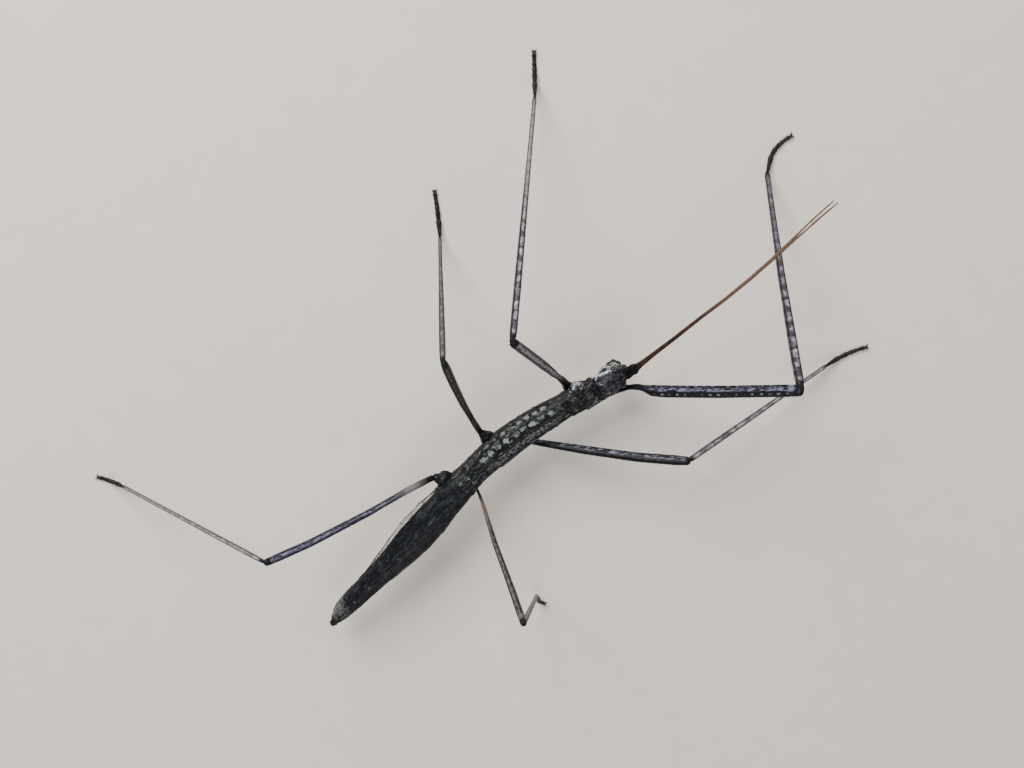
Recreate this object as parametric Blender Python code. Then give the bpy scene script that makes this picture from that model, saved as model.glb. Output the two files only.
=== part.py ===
"""A giant stick insect, female and wingless, standing on six feet with its legs bent high.

Metres, +Z up, z = 0 is the floor. The head points to -Y, so the insect's own left is the +X side.
Sizes below are in millimetres and are turned into metres as the meshes are made.
"""

import math

import bmesh
import bpy
import numpy as np
from mathutils import Vector

MM = 0.001
SEAM = 0.3           # gap between two body segments
JOINT_GAP = 0.2      # gap round a limb joint

# All places are measured from the floor under the middle hips. That point stands here, so that the whole
# insect, legs and antennae included, sits evenly round the origin.
STANCE = (-13.0, 9.4)

# The middle of the body from the first joint of the antennae to the tip of the tail.
BODY_LINE = (
    (-5.1, -47.0, 15.2), (-4.1, -35.9, 14.7), (-2.8, -24.5, 14.1), (-1.9, -9.0, 13.8), (-2.7, 4.5, 13.8),
    (-5.4, 18.8, 13.8), (-9.5, 36.5, 13.5), (-14.3, 55.9, 12.7), (-17.4, 70.0, 11.3), (-20.3, 76.9, 9.7),
)

# The neck is this far along the body line; the head fills most of the way up to it.
NECK = 13.0
# Segments behind the head: name, length, and how many steps its loft takes.
SEGMENTS = (
    ("prothorax", 9.4, 4), ("mesothorax", 27.4, 8), ("metathorax", 13.0, 5), ("abdomen_01", 7.3, 3),
    ("abdomen_02", 8.1, 3), ("abdomen_03", 7.8, 3), ("abdomen_04", 7.1, 3), ("abdomen_05", 7.1, 3),
    ("abdomen_06", 7.3, 3), ("abdomen_07", 6.8, 3), ("abdomen_08", 5.4, 3), ("abdomen_09", 3.3, 2),
    ("abdomen_10", 3.4, 3),
)

# Full width and height of the body at a distance from the front of the head.
BODY_GIRTH = (
    (12.8, 6.6, 5.8), (15.3, 7.6, 6.6), (20.3, 7.9, 7.2), (23.3, 7.2, 6.8), (28.8, 8.3, 7.2),
    (38.8, 9.0, 7.4), (47.3, 9.4, 7.8), (51.8, 8.6, 7.3), (58.8, 7.9, 7.3), (64.8, 9.3, 7.9),
    (70.8, 9.7, 8.1), (78.8, 11.5, 9.4), (86.8, 11.4, 9.4), (95.8, 9.1, 8.1), (104.8, 6.7, 6.2),
    (110.8, 6.3, 5.6), (116.8, 5.9, 4.6), (121.8, 4.6, 3.5), (124.8, 2.9, 2.2), (127.8, 1.2, 1.0),
)

BLACK_SHELL = (0.030, 0.033, 0.034)
LEG_SHELL = (0.075, 0.075, 0.095)
SHANK_SHELL = (0.16, 0.16, 0.18)
FEELER_SHELL = (0.10, 0.045, 0.022)


# ---------------------------------------------------------------- collections and small tools

for old in list(bpy.data.objects):
    bpy.data.objects.remove(old, do_unlink=True)

insect = bpy.data.collections.new("stick_insect")
cutters = bpy.data.collections.new("cutters")
bpy.context.scene.collection.children.link(insect)
bpy.context.scene.collection.children.link(cutters)

stance = bpy.data.objects.new("stance", None)
stance.location = (STANCE[0] * MM, STANCE[1] * MM, 0.0)
insect.objects.link(stance)


def finish(piece, colour, roughness):
    """Gives a piece a material of its own."""
    shell = bpy.data.materials.new(piece.name)
    shell.use_nodes = True
    surface = shell.node_tree.nodes["Principled BSDF"]
    surface.inputs["Base Color"].default_value = (*colour, 1.0)
    surface.inputs["Roughness"].default_value = roughness
    surface.inputs["Metallic"].default_value = 0.0
    piece.data.materials.append(shell)


def stand(name, bm, anchor, colour=None, roughness=0.5, sharp=35.0):
    """Turns a bmesh in millimetres into a piece whose origin is its anchor; with no colour it is a cutter."""
    bmesh.ops.recalc_face_normals(bm, faces=bm.faces)
    for vert in bm.verts:
        vert.co = (vert.co - Vector(anchor)) * MM
    mesh = bpy.data.meshes.new(name)
    bm.to_mesh(mesh)
    bm.free()
    mesh.shade_smooth()
    mesh.set_sharp_from_angle(angle=math.radians(sharp))
    piece = bpy.data.objects.new(name, mesh)
    piece.location = Vector(anchor) * MM
    piece.parent = stance
    if colour is None:
        piece.hide_render = True
        piece.display_type = "WIRE"
        cutters.objects.link(piece)
    else:
        insect.objects.link(piece)
        finish(piece, colour, roughness)
    return piece


def loft(rings):
    """A closed bmesh through a run of rings that all have the same number of points."""
    bm = bmesh.new()
    loops = [[bm.verts.new(point) for point in ring] for ring in rings]
    for near, far in zip(loops, loops[1:]):
        for i in range(len(near)):
            j = (i + 1) % len(near)
            bm.faces.new((near[i], near[j], far[j], far[i]))
    bm.faces.new(loops[0])
    bm.faces.new(loops[-1])
    return bm


def cut(piece, cutter):
    """Takes the cutter's shape out of a piece."""
    knife = piece.modifiers.new("cut_by_" + cutter.name, "BOOLEAN")
    knife.operation = "DIFFERENCE"
    knife.solver = "EXACT"
    knife.object = cutter


def join(piece, other):
    """Adds another closed shape to a piece; the other one becomes a guide."""
    weld = piece.modifiers.new("with_" + other.name, "BOOLEAN")
    weld.operation = "UNION"
    weld.solver = "EXACT"
    weld.object = other


def smooth_path(points, steps):
    """Points along a rounded curve through the given points, steps to each stretch."""
    knots = [Vector(p) for p in points]
    knots = [2 * knots[0] - knots[1]] + knots + [2 * knots[-1] - knots[-2]]
    path = []
    for a, b, c, d in zip(knots, knots[1:], knots[2:], knots[3:]):
        for i in range(steps):
            t = i / steps
            path.append(0.5 * (2 * b + (c - a) * t + (2 * a - 5 * b + 4 * c - d) * t ** 2
                               + (3 * b - a - 3 * c + d) * t ** 3))
    path.append(knots[-2])
    return path


class Route:
    """A curved path that can be read by distance."""

    def __init__(self, points, steps=24):
        self.path = smooth_path(points, steps)
        lengths = [(q - p).length for p, q in zip(self.path, self.path[1:])]
        self.marks = np.concatenate(([0.0], np.cumsum(lengths)))
        self.length = float(self.marks[-1])

    def at(self, distance):
        """The place at a distance along the route; beyond the ends it goes straight on."""
        d = min(max(distance, 0.0), self.length)
        i = int(min(np.searchsorted(self.marks, d, side="right") - 1, len(self.path) - 2))
        step = self.marks[i + 1] - self.marks[i]
        place = self.path[i].lerp(self.path[i + 1], (d - self.marks[i]) / step)
        return place + self.along(d) * (distance - d)

    def along(self, distance):
        """The direction of the route at a distance."""
        reach = 0.02 * self.length
        low = min(max(distance - reach, 0.0), self.length)
        high = min(max(distance + reach, 0.0), self.length)
        i, j = (int(np.searchsorted(self.marks, d)) for d in (low, high))
        j = max(j, i + 1)
        if j >= len(self.path):
            i, j = len(self.path) - 2, len(self.path) - 1
        return (self.path[j] - self.path[i]).normalized()


def squashed_circle(count, squareness=0.0, keels=0.0, turn=0.5):
    """Unit outline as (across, up) pairs: round, squarer, or with four raised keels at its corners."""
    outline = []
    for i in range(count):
        angle = 2 * math.pi * (i + turn) / count
        swell = 1.0 + squareness * math.sin(2 * angle) ** 2 + keels * (1 if i % 2 == 0 else -1)
        outline.append((swell * math.cos(angle), swell * math.sin(angle)))
    return outline


def ring(centre, across, up, outline, half_width, half_height):
    return [centre + across * (x * half_width) + up * (y * half_height) for x, y in outline]


# ---------------------------------------------------------------- trunk: thorax and abdomen

body = Route(BODY_LINE)
TRUNK_OUTLINE = squashed_circle(16, squareness=0.07)


def trunk_frame(distance):
    """Place on the body's middle line, the direction to the insect's left, and its own up."""
    back = body.along(distance)
    left = back.cross(Vector((0, 0, 1))).normalized()
    return body.at(distance), left, left.cross(back)


def girth(distance):
    marks, widths, heights = zip(*BODY_GIRTH)
    return np.interp(distance, marks, widths) / 2, np.interp(distance, marks, heights) / 2


def trunk_ring(distance, swell=1.0, grow=0.0):
    centre, left, up = trunk_frame(distance)
    half_width, half_height = girth(distance)
    return ring(centre, left, up, TRUNK_OUTLINE, half_width * swell + grow, half_height * swell + grow)


def trunk_piece(name, start, end, steps, swell=1.0, grow=0.0, colour=BLACK_SHELL):
    """One length of the trunk, a little fuller at its hind edge, where a real plate laps over the next."""
    rings = []
    for i in range(steps + 1):
        share = i / steps
        lap = 1.0 + (swell - 1.0) * share ** 2
        rings.append(trunk_ring(start + (end - start) * share, lap, grow))
    return stand(name, loft(rings), body.at(start), colour, 0.55)


LAP = 1.03
mark = NECK
for name, length, steps in SEGMENTS:
    trunk_piece(name, mark + SEAM / 2, mark + length - SEAM / 2, steps, LAP)
    mark += length
TAIL_END = mark

# A fuller copy of the thorax, which keeps the coxae clear of it.
thorax_clearance = trunk_piece("thorax_clearance", NECK - 2.0, 74.0, 24, 1.0, JOINT_GAP + 0.12, None)


# ---------------------------------------------------------------- head

# Distance along the body line, half width, height above and below the line.
HEAD_GIRTH = (
    (2.4, 1.3, 1.0, 1.6), (3.0, 1.8, 1.7, 2.4), (4.0, 2.35, 2.4, 3.1), (5.4, 2.85, 3.0, 3.6),
    (6.9, 3.4, 3.4, 3.8), (8.6, 3.9, 3.6, 3.8), (10.2, 4.0, 3.5, 3.6), (11.7, 3.6, 3.1, 3.2),
    (12.7, 3.1, 2.7, 2.8),
)
HEAD_OUTLINE = squashed_circle(16, squareness=0.03)
EYE_AT = 5.2
EYE_OUT = 2.45
EYE_RISE = 0.8
EYE_RADIUS = 1.05
SOCKET_GAP = 0.12


def head_ring(distance, half_width, above, below):
    centre, left, up = trunk_frame(distance)
    points = []
    for x, y in HEAD_OUTLINE:
        rise = above if y > 0 else below
        points.append(centre + left * (x * half_width) + up * (y * rise))
    return points


head = stand("head", loft([head_ring(*row) for row in HEAD_GIRTH]), body.at(NECK), BLACK_SHELL, 0.5)


def ball(name, centre, radius, colour, roughness=0.2):
    bm = bmesh.new()
    bmesh.ops.create_uvsphere(bm, u_segments=12, v_segments=8, radius=radius)
    bmesh.ops.translate(bm, verts=bm.verts, vec=centre)
    return stand(name, bm, centre, colour, roughness, 80.0)


for side, sign in (("left", 1), ("right", -1)):
    centre, left, up = trunk_frame(EYE_AT)
    eye_centre = centre + left * (sign * EYE_OUT) + up * EYE_RISE
    ball(f"eye_{side}", eye_centre, EYE_RADIUS, (0.09, 0.06, 0.05))
    socket = ball(f"socket_{side}", eye_centre, EYE_RADIUS + SOCKET_GAP, None)
    cut(head, socket)


# ---------------------------------------------------------------- limbs and feelers

def tube(name, route, profile, outline, up_hint, colour, roughness=0.5, grow=0.0, start_at=0.0, end_at=None):
    """A limb piece along a route: profile rows are (share of the length, full width, full height)."""
    end_at = route.length if end_at is None else end_at
    rings = []
    for share, width, height in profile:
        distance = start_at + (end_at - start_at) * share
        if grow and share in (0.0, 1.0):
            distance += grow if share else -grow
        along = route.along(distance)
        across = along.cross(up_hint).normalized()
        up = across.cross(along)
        rings.append(ring(route.at(distance), across, up, outline, width / 2 + grow, height / 2 + grow))
    return stand(name, loft(rings), route.at(start_at), colour, roughness)


ROUND = squashed_circle(8)
KEELED = squashed_circle(8, keels=0.09)
SLIM = squashed_circle(6)

FEELER_PROFILE = (
    (0.000, 0.90, 0.70), (0.010, 1.30, 0.95), (0.028, 1.30, 0.90), (0.034, 0.80, 0.72), (0.048, 0.76, 0.72),
    (0.056, 0.64, 0.64), (0.120, 0.64, 0.64), (0.220, 0.60, 0.60), (0.340, 0.58, 0.58), (0.460, 0.57, 0.57),
    (0.580, 0.56, 0.56), (0.700, 0.55, 0.55), (0.800, 0.54, 0.54), (0.900, 0.52, 0.52), (0.970, 0.50, 0.50),
    (1.000, 0.30, 0.30),
)
FEELER_ROUTES = {
    "left": ((-4.0, -45.3, 16.0), (-4.0, -47.4, 16.8), (-3.5, -52.9, 18.0), (-2.4, -61.0, 20.0),
             (-1.0, -69.2, 22.2), (1.7, -84.3, 27.2), (6.0, -100.0, 33.2), (9.2, -109.5, 37.0),
             (11.6, -119.5, 39.6)),
    "right": ((-5.5, -45.1, 16.0), (-5.4, -47.4, 16.8), (-4.3, -52.9, 18.0), (-3.1, -61.0, 20.0),
              (-1.6, -69.2, 22.2), (1.1, -84.4, 27.2), (5.3, -100.1, 33.2), (8.3, -109.7, 37.0),
              (9.8, -120.4, 38.0)),
}
# A fuller copy of the head, which keeps the antennae and the mouth clear of it.
clearance_rings = []
for distance, half_width, above, below in HEAD_GIRTH:
    if not clearance_rings:
        distance -= JOINT_GAP
    clearance_rings.append(head_ring(distance, half_width + JOINT_GAP, above + JOINT_GAP, below + JOINT_GAP))
head_clearance = stand("head_clearance", loft(clearance_rings), body.at(0.0))
for side, points in FEELER_ROUTES.items():
    feeler = tube(f"antenna_{side}", Route(points), FEELER_PROFILE, SLIM, Vector((0, 0, 1)), FEELER_SHELL)
    cut(feeler, head_clearance)

# The mouth: a blunt block of labrum and jaws under the front of the head, with a palp on each side.
MOUTH_GIRTH = ((0.0, 2.4, 1.4), (0.25, 3.3, 2.1), (0.6, 3.1, 2.2), (0.9, 2.5, 1.7), (1.0, 1.8, 1.1))
front, left, up = trunk_frame(3.9)
ahead = -body.along(3.9)
mouth_route = Route((front - up * 2.0, front - up * 3.4 + ahead * 0.7, front - up * 4.9 + ahead * 1.1), 6)
mouth = tube("mouthparts", mouth_route, MOUTH_GIRTH, ROUND, ahead, (0.05, 0.035, 0.03))
cut(mouth, head_clearance)
mouth_clearance = tube("mouth_clearance", mouth_route, MOUTH_GIRTH, ROUND, ahead, None, grow=JOINT_GAP)
PALP_PROFILE = (
    (0.0, 0.55, 0.55), (0.25, 0.72, 0.72), (0.30, 0.56, 0.56), (0.60, 0.76, 0.76), (0.66, 0.56, 0.56),
    (0.92, 0.72, 0.72), (1.0, 0.4, 0.4),
)
# Bends of a palp: distance along the body line, how far out to the side, how far below.
PALP_BENDS = ((7.0, 2.4, 3.3), (6.7, 3.3, 5.3), (5.0, 3.3, 5.9), (3.7, 2.2, 6.0), (3.2, 1.0, 5.7))
for side, sign in (("left", 1), ("right", -1)):
    bends = []
    for distance, out, below in PALP_BENDS:
        middle, left, up = trunk_frame(distance)
        bends.append(middle + left * (out * sign) - up * below)
    palp = tube(f"palp_{side}", Route(bends, 6), PALP_PROFILE, SLIM, up, (0.08, 0.05, 0.04))
    cut(palp, head_clearance)
    cut(palp, mouth_clearance)


# ---------------------------------------------------------------- legs

# Where each leg bends: coxa root, femur root and its bend, knee, ankle, and the run of the foot to its toe.
LEGS = {
    "fore_left": {
        "coxa": ((-2.5, -27.1, 12.0), (2.2, -27.8, 12.9)),
        "femur": ((2.2, -27.8, 12.9), (6.4, -27.9, 17.5), (11.6, -28.0, 25.2), (18.6, -28.5, 36.0),
                  (39.8, -28.8, 65.8)),
        "tibia": ((40.2, -28.6, 66.2), (76.2, -69.0, 5.6)),
        "foot": ((76.4, -69.2, 5.6), (78.2, -70.9, 2.0), (81.5, -73.3, 0.42), (85.3, -75.8, 0.42)),
    },
    "fore_right": {
        "coxa": ((-5.7, -28.7, 11.6), (-9.2, -35.7, 10.3)),
        "femur": ((-9.2, -35.7, 10.3), (-9.9, -39.0, 10.3), (-10.2, -41.6, 11.2), (-10.8, -43.8, 13.0),
                  (-11.6, -45.9, 16.5), (-12.3, -48.7, 22.0), (-15.4, -60.5, 35.5), (-20.5, -82.4, 59.3)),
        "tibia": ((-20.3, -82.7, 59.3), (-1.3, -97.0, 30.5), (16.4, -111.7, 1.6)),
        "foot": ((16.4, -111.9, 1.6), (18.2, -113.8, 0.8), (20.3, -116.9, 0.42), (21.1, -120.6, 0.42),
                 (21.1, -122.8, 0.42)),
    },
    "middle_left": {
        "coxa": ((-0.1, 0.7, 12.4), (5.3, 1.5, 13.0)),
        "femur": ((5.3, 1.5, 13.0), (8.2, 1.0, 15.5), (19.6, -1.8, 27.0), (29.5, -4.8, 38.0),
                  (41.3, -8.7, 50.8)),
        "tibia": ((41.9, -8.6, 50.8), (58.2, -22.8, 2.2)),
        "foot": ((58.3, -22.9, 2.2), (60.5, -24.3, 0.9), (64.5, -26.7, 0.42), (69.4, -29.3, 0.42)),
    },
    "middle_right": {
        "coxa": ((-4.0, 1.1, 11.4), (-4.8, -5.0, 8.0)),
        "femur": ((-4.8, -5.0, 8.0), (-11.7, -12.5, 10.6), (-21.5, -23.7, 14.5), (-30.8, -35.0, 18.4),
                  (-37.0, -43.9, 21.4)),
        "tibia": ((-37.1, -44.1, 21.4), (-45.8, -94.1, 2.4)),
        "foot": ((-45.8, -94.2, 2.4), (-46.7, -98.0, 0.8), (-47.6, -102.8, 0.42), (-49.0, -107.4, 0.42)),
    },
    "hind_left": {
        "coxa": ((-2.4, 18.4, 12.6), (2.4, 21.0, 13.9)),
        "femur": ((2.4, 21.0, 13.9), (6.7, 30.7, 21.0), (11.9, 45.3, 31.0), (17.1, 55.6, 39.5),
                  (22.8, 66.4, 47.5)),
        "tibia": ((23.2, 66.7, 47.5), (53.5, 98.6, 5.4)),
        "foot": ((53.6, 98.7, 5.4), (55.1, 100.8, 2.4), (56.6, 102.6, 0.6), (58.9, 104.1, 0.42)),
    },
    "hind_right": {
        "coxa": ((-5.8, 15.8, 11.4), (-9.6, 13.8, 9.0)),
        "femur": ((-9.6, 13.8, 9.0), (-12.2, 13.9, 14.0), (-19.8, 15.6, 34.0), (-25.4, 15.6, 57.5),
                  (-27.6, 15.8, 67.7)),
        "tibia": ((-27.5, 15.8, 67.9), (-51.8, 20.3, 9.6)),
        "foot": ((-51.9, 20.3, 9.6), (-55.6, 21.7, 5.0), (-58.6, 22.6, 1.2), (-59.7, 21.9, 0.42)),
    },
}

# Full width and height along each leg piece, by pair: (share of the length, width, height).
COXA_PROFILE = ((0.0, 3.6, 3.7), (0.45, 3.2, 3.3), (0.8, 2.5, 2.7), (0.97, 1.9, 2.1), (1.0, 1.3, 1.5))
FEMUR_PROFILES = {
    "fore": ((0.0, 1.1, 1.2), (0.015, 1.6, 1.8), (0.07, 1.4, 1.6), (0.14, 1.3, 1.6), (0.185, 1.5, 1.9),
             (0.25, 2.3, 3.2), (0.32, 2.4, 3.6), (0.60, 2.4, 3.5), (0.85, 2.4, 3.4), (0.955, 2.5, 3.4),
             (0.99, 2.1, 2.8), (1.0, 1.3, 1.5)),
    "middle": ((0.0, 1.1, 1.2), (0.02, 1.7, 1.9), (0.15, 1.9, 2.1), (0.40, 2.5, 2.7), (0.70, 2.75, 2.9),
               (0.94, 2.9, 3.1), (0.985, 2.3, 2.6), (1.0, 1.3, 1.4)),
    "hind": ((0.0, 0.8, 1.2), (0.02, 1.0, 1.9), (0.08, 1.1, 2.1), (0.16, 1.35, 2.3), (0.40, 1.85, 2.5),
             (0.75, 2.3, 2.7), (0.94, 2.45, 2.9), (0.985, 2.0, 2.4), (1.0, 1.1, 1.3)),
}
TIBIA_PROFILES = {
    "fore": ((0.0, 1.3, 1.4), (0.04, 1.85, 2.0), (0.2, 2.0, 2.15), (0.5, 1.85, 2.0), (0.8, 1.6, 1.75),
             (0.96, 1.6, 1.7), (0.99, 1.3, 1.4), (1.0, 0.8, 0.9)),
    "middle": ((0.0, 1.3, 1.4), (0.05, 1.85, 2.0), (0.2, 1.9, 2.05), (0.5, 1.65, 1.8), (0.8, 1.3, 1.4),
               (0.95, 1.35, 1.45), (0.99, 1.1, 1.2), (1.0, 0.7, 0.8)),
    "hind": ((0.0, 1.1, 1.2), (0.05, 1.6, 1.8), (0.2, 1.65, 1.9), (0.5, 1.5, 1.65), (0.8, 1.3, 1.45),
             (0.96, 1.35, 1.45), (0.99, 1.1, 1.2), (1.0, 0.7, 0.8)),
}
# Share of the foot taken by each of its five joints, each of which widens towards its far end.
TARSOMERES = (0.38, 0.20, 0.13, 0.09, 0.20)
FOOT_NECK = 0.72
FOOT_FULL = 1.12
# How far a piece runs on past the point where the next one hinges in it.
COXA_CUP = 0.6
KNEE_CUP = 0.9
ANKLE_CUP = 0.45
CLAW_LENGTH = 1.9
CLAW_SPREAD = 0.95
CLAW_ROOT = 0.5
# Share of a claw's reach, and how far that point stands above the toe.
CLAW_ARCH = ((0.45, 0.28), (0.85, 0.1), (1.0, -0.22))
CLAW_PROFILE = ((0.0, 0.55, 0.55), (0.4, 0.5, 0.5), (0.8, 0.42, 0.42), (1.0, 0.26, 0.26))

HAUNCH_UP = Vector((0, 0.3, 1))

floor_slab = bmesh.new()
bmesh.ops.create_cube(floor_slab, size=1.0)
bmesh.ops.scale(floor_slab, vec=(320.0, 400.0, 10.0), verts=floor_slab.verts)
bmesh.ops.translate(floor_slab, vec=(0.0, 0.0, -5.0), verts=floor_slab.verts)
floor_cutter = stand("floor_cutter", floor_slab, (0.0, 0.0, 0.0))


def foot_profile():
    """Five joints in a row, each a narrow neck that swells into a pad."""
    rows = [(0.0, FOOT_NECK * 0.7, FOOT_NECK * 0.7)]
    mark = 0.0
    for share in TARSOMERES:
        rows.append((mark + share * 0.12, FOOT_NECK, FOOT_NECK))
        rows.append((mark + share * 0.85, FOOT_FULL, FOOT_FULL * 0.9))
        mark += share
        if mark < 0.99:
            rows.append((mark, FOOT_NECK, FOOT_NECK))
    rows.append((1.0, FOOT_FULL * 0.6, FOOT_FULL * 0.5))
    return rows


def claw(name, root, ahead, sideways):
    """One hooked claw that leaves the end of the foot, spreads and bends down to the floor."""
    reach = ahead * CLAW_LENGTH + sideways * CLAW_SPREAD
    points = [root - ahead * CLAW_ROOT]
    for share, rise in CLAW_ARCH:
        points.append(root + reach * share + Vector((0, 0, rise)))
    return tube(name, Route(points, 6), CLAW_PROFILE, SLIM, Vector((0, 0, 1)), None)


def jointed(name, route, profile, outline, up_hint, colour, cup):
    """A leg piece that runs past its hinge by the cup, and a fuller copy that keeps the next piece clear."""
    end = route.length + cup
    piece = tube(name, route, profile, outline, up_hint, colour, 0.45, end_at=end)
    clearance = tube(name + "_clearance", route, profile, outline, up_hint, None, grow=JOINT_GAP, end_at=end)
    return piece, clearance


for name, leg in LEGS.items():
    pair = name.split("_")[0]
    hip, knee, ankle = (Vector(leg[key][0]) for key in ("femur", "tibia", "foot"))
    hinge = (knee - hip).cross(ankle - knee).normalized()
    femur_up = hinge.cross(knee - hip).normalized()
    tibia_up = hinge.cross(ankle - knee).normalized()

    coxa, coxa_clearance = jointed(
        f"coxa_{name}", Route(leg["coxa"], 8), COXA_PROFILE, ROUND, HAUNCH_UP, BLACK_SHELL, COXA_CUP)
    cut(coxa, thorax_clearance)

    femur, femur_clearance = jointed(
        f"femur_{name}", Route(leg["femur"]), FEMUR_PROFILES[pair], KEELED, femur_up, LEG_SHELL, KNEE_CUP)
    cut(femur, coxa_clearance)

    tibia, tibia_clearance = jointed(
        f"tibia_{name}", Route(leg["tibia"]), TIBIA_PROFILES[pair], KEELED, tibia_up, SHANK_SHELL, ANKLE_CUP)
    cut(tibia, femur_clearance)

    foot_route = Route(leg["foot"], 10)
    foot = tube(f"tarsus_{name}", foot_route, foot_profile(), ROUND, Vector((0, 0, 1)), LEG_SHELL, 0.6)
    cut(foot, tibia_clearance)
    ahead = foot_route.along(foot_route.length)
    sideways = ahead.cross(Vector((0, 0, 1))).normalized()
    toe = foot_route.at(foot_route.length) + Vector((0, 0, 0.05))
    for side, sign in (("left", -1), ("right", 1)):
        join(foot, claw(f"claw_{side}_{name}", toe, ahead, sideways * sign))
    cut(foot, floor_cutter)


# ---------------------------------------------------------------- tail end: cerci and the plate under it

CERCUS_PROFILE = ((0.0, 0.5, 0.5), (0.3, 0.75, 0.75), (0.8, 0.6, 0.6), (1.0, 0.3, 0.3))
for side, sign in (("left", 1), ("right", -1)):
    centre, left, up = trunk_frame(TAIL_END - 1.4)
    back = body.along(TAIL_END)
    root = centre + left * (1.6 * sign) + up * 0.1
    tip = root + back * 1.7 + left * (0.15 * sign) - up * 0.2
    tube(f"cercus_{side}", Route((root, tip), 6), CERCUS_PROFILE, SLIM, up, LEG_SHELL)

OPERCULUM = ((110.6, 3.6), (113.3, 4.2), (116.8, 3.9), (120.3, 3.0), (123.3, 1.9), (125.4, 0.9))
PLATE_THICKNESS = 0.7


def plate_ring(distance, width):
    """A shallow trough that cups the belly from below."""
    centre, left, up = trunk_frame(distance)
    below = girth(distance)[1] * LAP * 1.02 + SEAM
    outer = []
    inner = []
    for i in range(7):
        angle = math.pi * (i / 6 - 0.5)
        across = math.sin(angle) * width / 2
        rise = (1 - math.cos(angle * 0.8)) * width * 0.16
        outer.append(centre + left * across - up * (below + PLATE_THICKNESS - rise))
        inner.append(centre + left * (across * 0.96) - up * (below - rise))
    return outer + inner[::-1]


stand("operculum", loft([plate_ring(*row) for row in OPERCULUM]), body.at(OPERCULUM[0][0]), BLACK_SHELL, 0.5)
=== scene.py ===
"""The looks of a giant stick insect, a wingless female, standing on a pale studio floor.

Sizes are in millimetres and are turned into metres as each mesh is made. The head points to -Y, and the
insect's own left is the +X side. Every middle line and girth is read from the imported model.
"""

import math

import bmesh
import bpy
import numpy as np
from mathutils import Matrix, Vector, noise


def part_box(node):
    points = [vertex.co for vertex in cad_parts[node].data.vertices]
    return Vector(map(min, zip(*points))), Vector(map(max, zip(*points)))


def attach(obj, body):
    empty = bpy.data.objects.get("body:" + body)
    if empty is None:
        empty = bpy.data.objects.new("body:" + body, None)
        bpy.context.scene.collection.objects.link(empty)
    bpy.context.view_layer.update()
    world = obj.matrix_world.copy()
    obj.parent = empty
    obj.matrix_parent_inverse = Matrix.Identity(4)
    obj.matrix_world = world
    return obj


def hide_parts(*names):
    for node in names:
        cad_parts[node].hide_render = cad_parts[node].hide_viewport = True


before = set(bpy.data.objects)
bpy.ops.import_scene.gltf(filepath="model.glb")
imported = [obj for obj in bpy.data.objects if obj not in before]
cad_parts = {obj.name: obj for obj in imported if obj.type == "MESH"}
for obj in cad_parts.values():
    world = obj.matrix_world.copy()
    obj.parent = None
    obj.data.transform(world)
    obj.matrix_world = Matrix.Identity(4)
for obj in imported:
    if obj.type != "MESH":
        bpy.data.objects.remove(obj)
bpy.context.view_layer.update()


# ---------------------------------------------------------------- body skin
# The soft skin under the shell plates of the thorax and abdomen, one unbroken tube from the neck to the
# tail. It is dark in front, and pale and finely folded behind, where it shows along the flanks because a
# grown female's plates stand apart.

MM = 0.001
THORAX = ("prothorax", "mesothorax", "metathorax")
ABDOMEN = tuple(f"abdomen_{number:02d}" for number in range(1, 11))
SKY = np.array((0.0, 0.0, 1.0))
SKIN_DEPTH = 0.34
SKIN_STEP = 0.30
SKIN_AROUND = 72
TAIL_TAPER = 7.0
# How far from its middle line a slice of the trunk may lie.
TRUNK_REACH = 9.0


def unit(vectors):
    return vectors / np.linalg.norm(vectors, axis=-1, keepdims=True)


def solid_of(*names):
    """The corners and edges of CAD nodes, in millimetres."""
    corners = np.zeros((0, 3))
    edges = np.zeros((0, 2), int)
    for name in names:
        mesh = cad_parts[name].data
        points = np.zeros(len(mesh.vertices) * 3)
        mesh.vertices.foreach_get("co", points)
        pairs = np.zeros(len(mesh.edges) * 2, int)
        mesh.edges.foreach_get("vertices", pairs)
        edges = np.vstack((edges, pairs.reshape(-1, 2) + len(corners)))
        corners = np.vstack((corners, points.reshape(-1, 3) / MM))
    return corners, edges


def slice_at(solid, place, along, reach):
    """Where a plane across the way cuts the solid's edges, near a place."""
    corners, edges = solid
    height = (corners - place) @ along
    start, end = height[edges[:, 0]], height[edges[:, 1]]
    crossed = start * end < 0
    share = (start[crossed] / (start[crossed] - end[crossed]))[:, None]
    cuts = corners[edges[crossed, 0]] * (1 - share) + corners[edges[crossed, 1]] * share
    return cuts[np.linalg.norm(cuts - place, axis=1) < reach]


def follow(solid, start, heading, reach, step=0.5, drift=0.3):
    """Walks down the inside of a long solid from one end of it, and returns the middle points. Drift is the
    most that it moves sideways for each step forward."""
    middle = []
    place = start
    missed = 0
    while missed < 3:
        place = place + heading * step
        cuts = slice_at(solid, place, heading, reach)
        if len(cuts) < 4:
            missed += 1
            continue
        missed = 0
        side = unit(np.cross(heading, SKY + (0.01, 0.02, 0.0)))
        for axis in (side, np.cross(side, heading)):
            spread = (cuts - place) @ axis
            place = place + axis * np.clip((spread.min() + spread.max()) / 2, -drift * step, drift * step)
        middle.append(place)
        if len(middle) > 3:
            heading = unit(place - middle[-4])
    return np.array(middle)


def soften(rows, rounds):
    """Evens out a run of rows and leaves its two ends where they are."""
    rows = np.array(rows, float)
    for _ in range(rounds):
        rows[1:-1] = (rows[:-2] + 2 * rows[1:-1] + rows[2:]) / 4
    return rows


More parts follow.
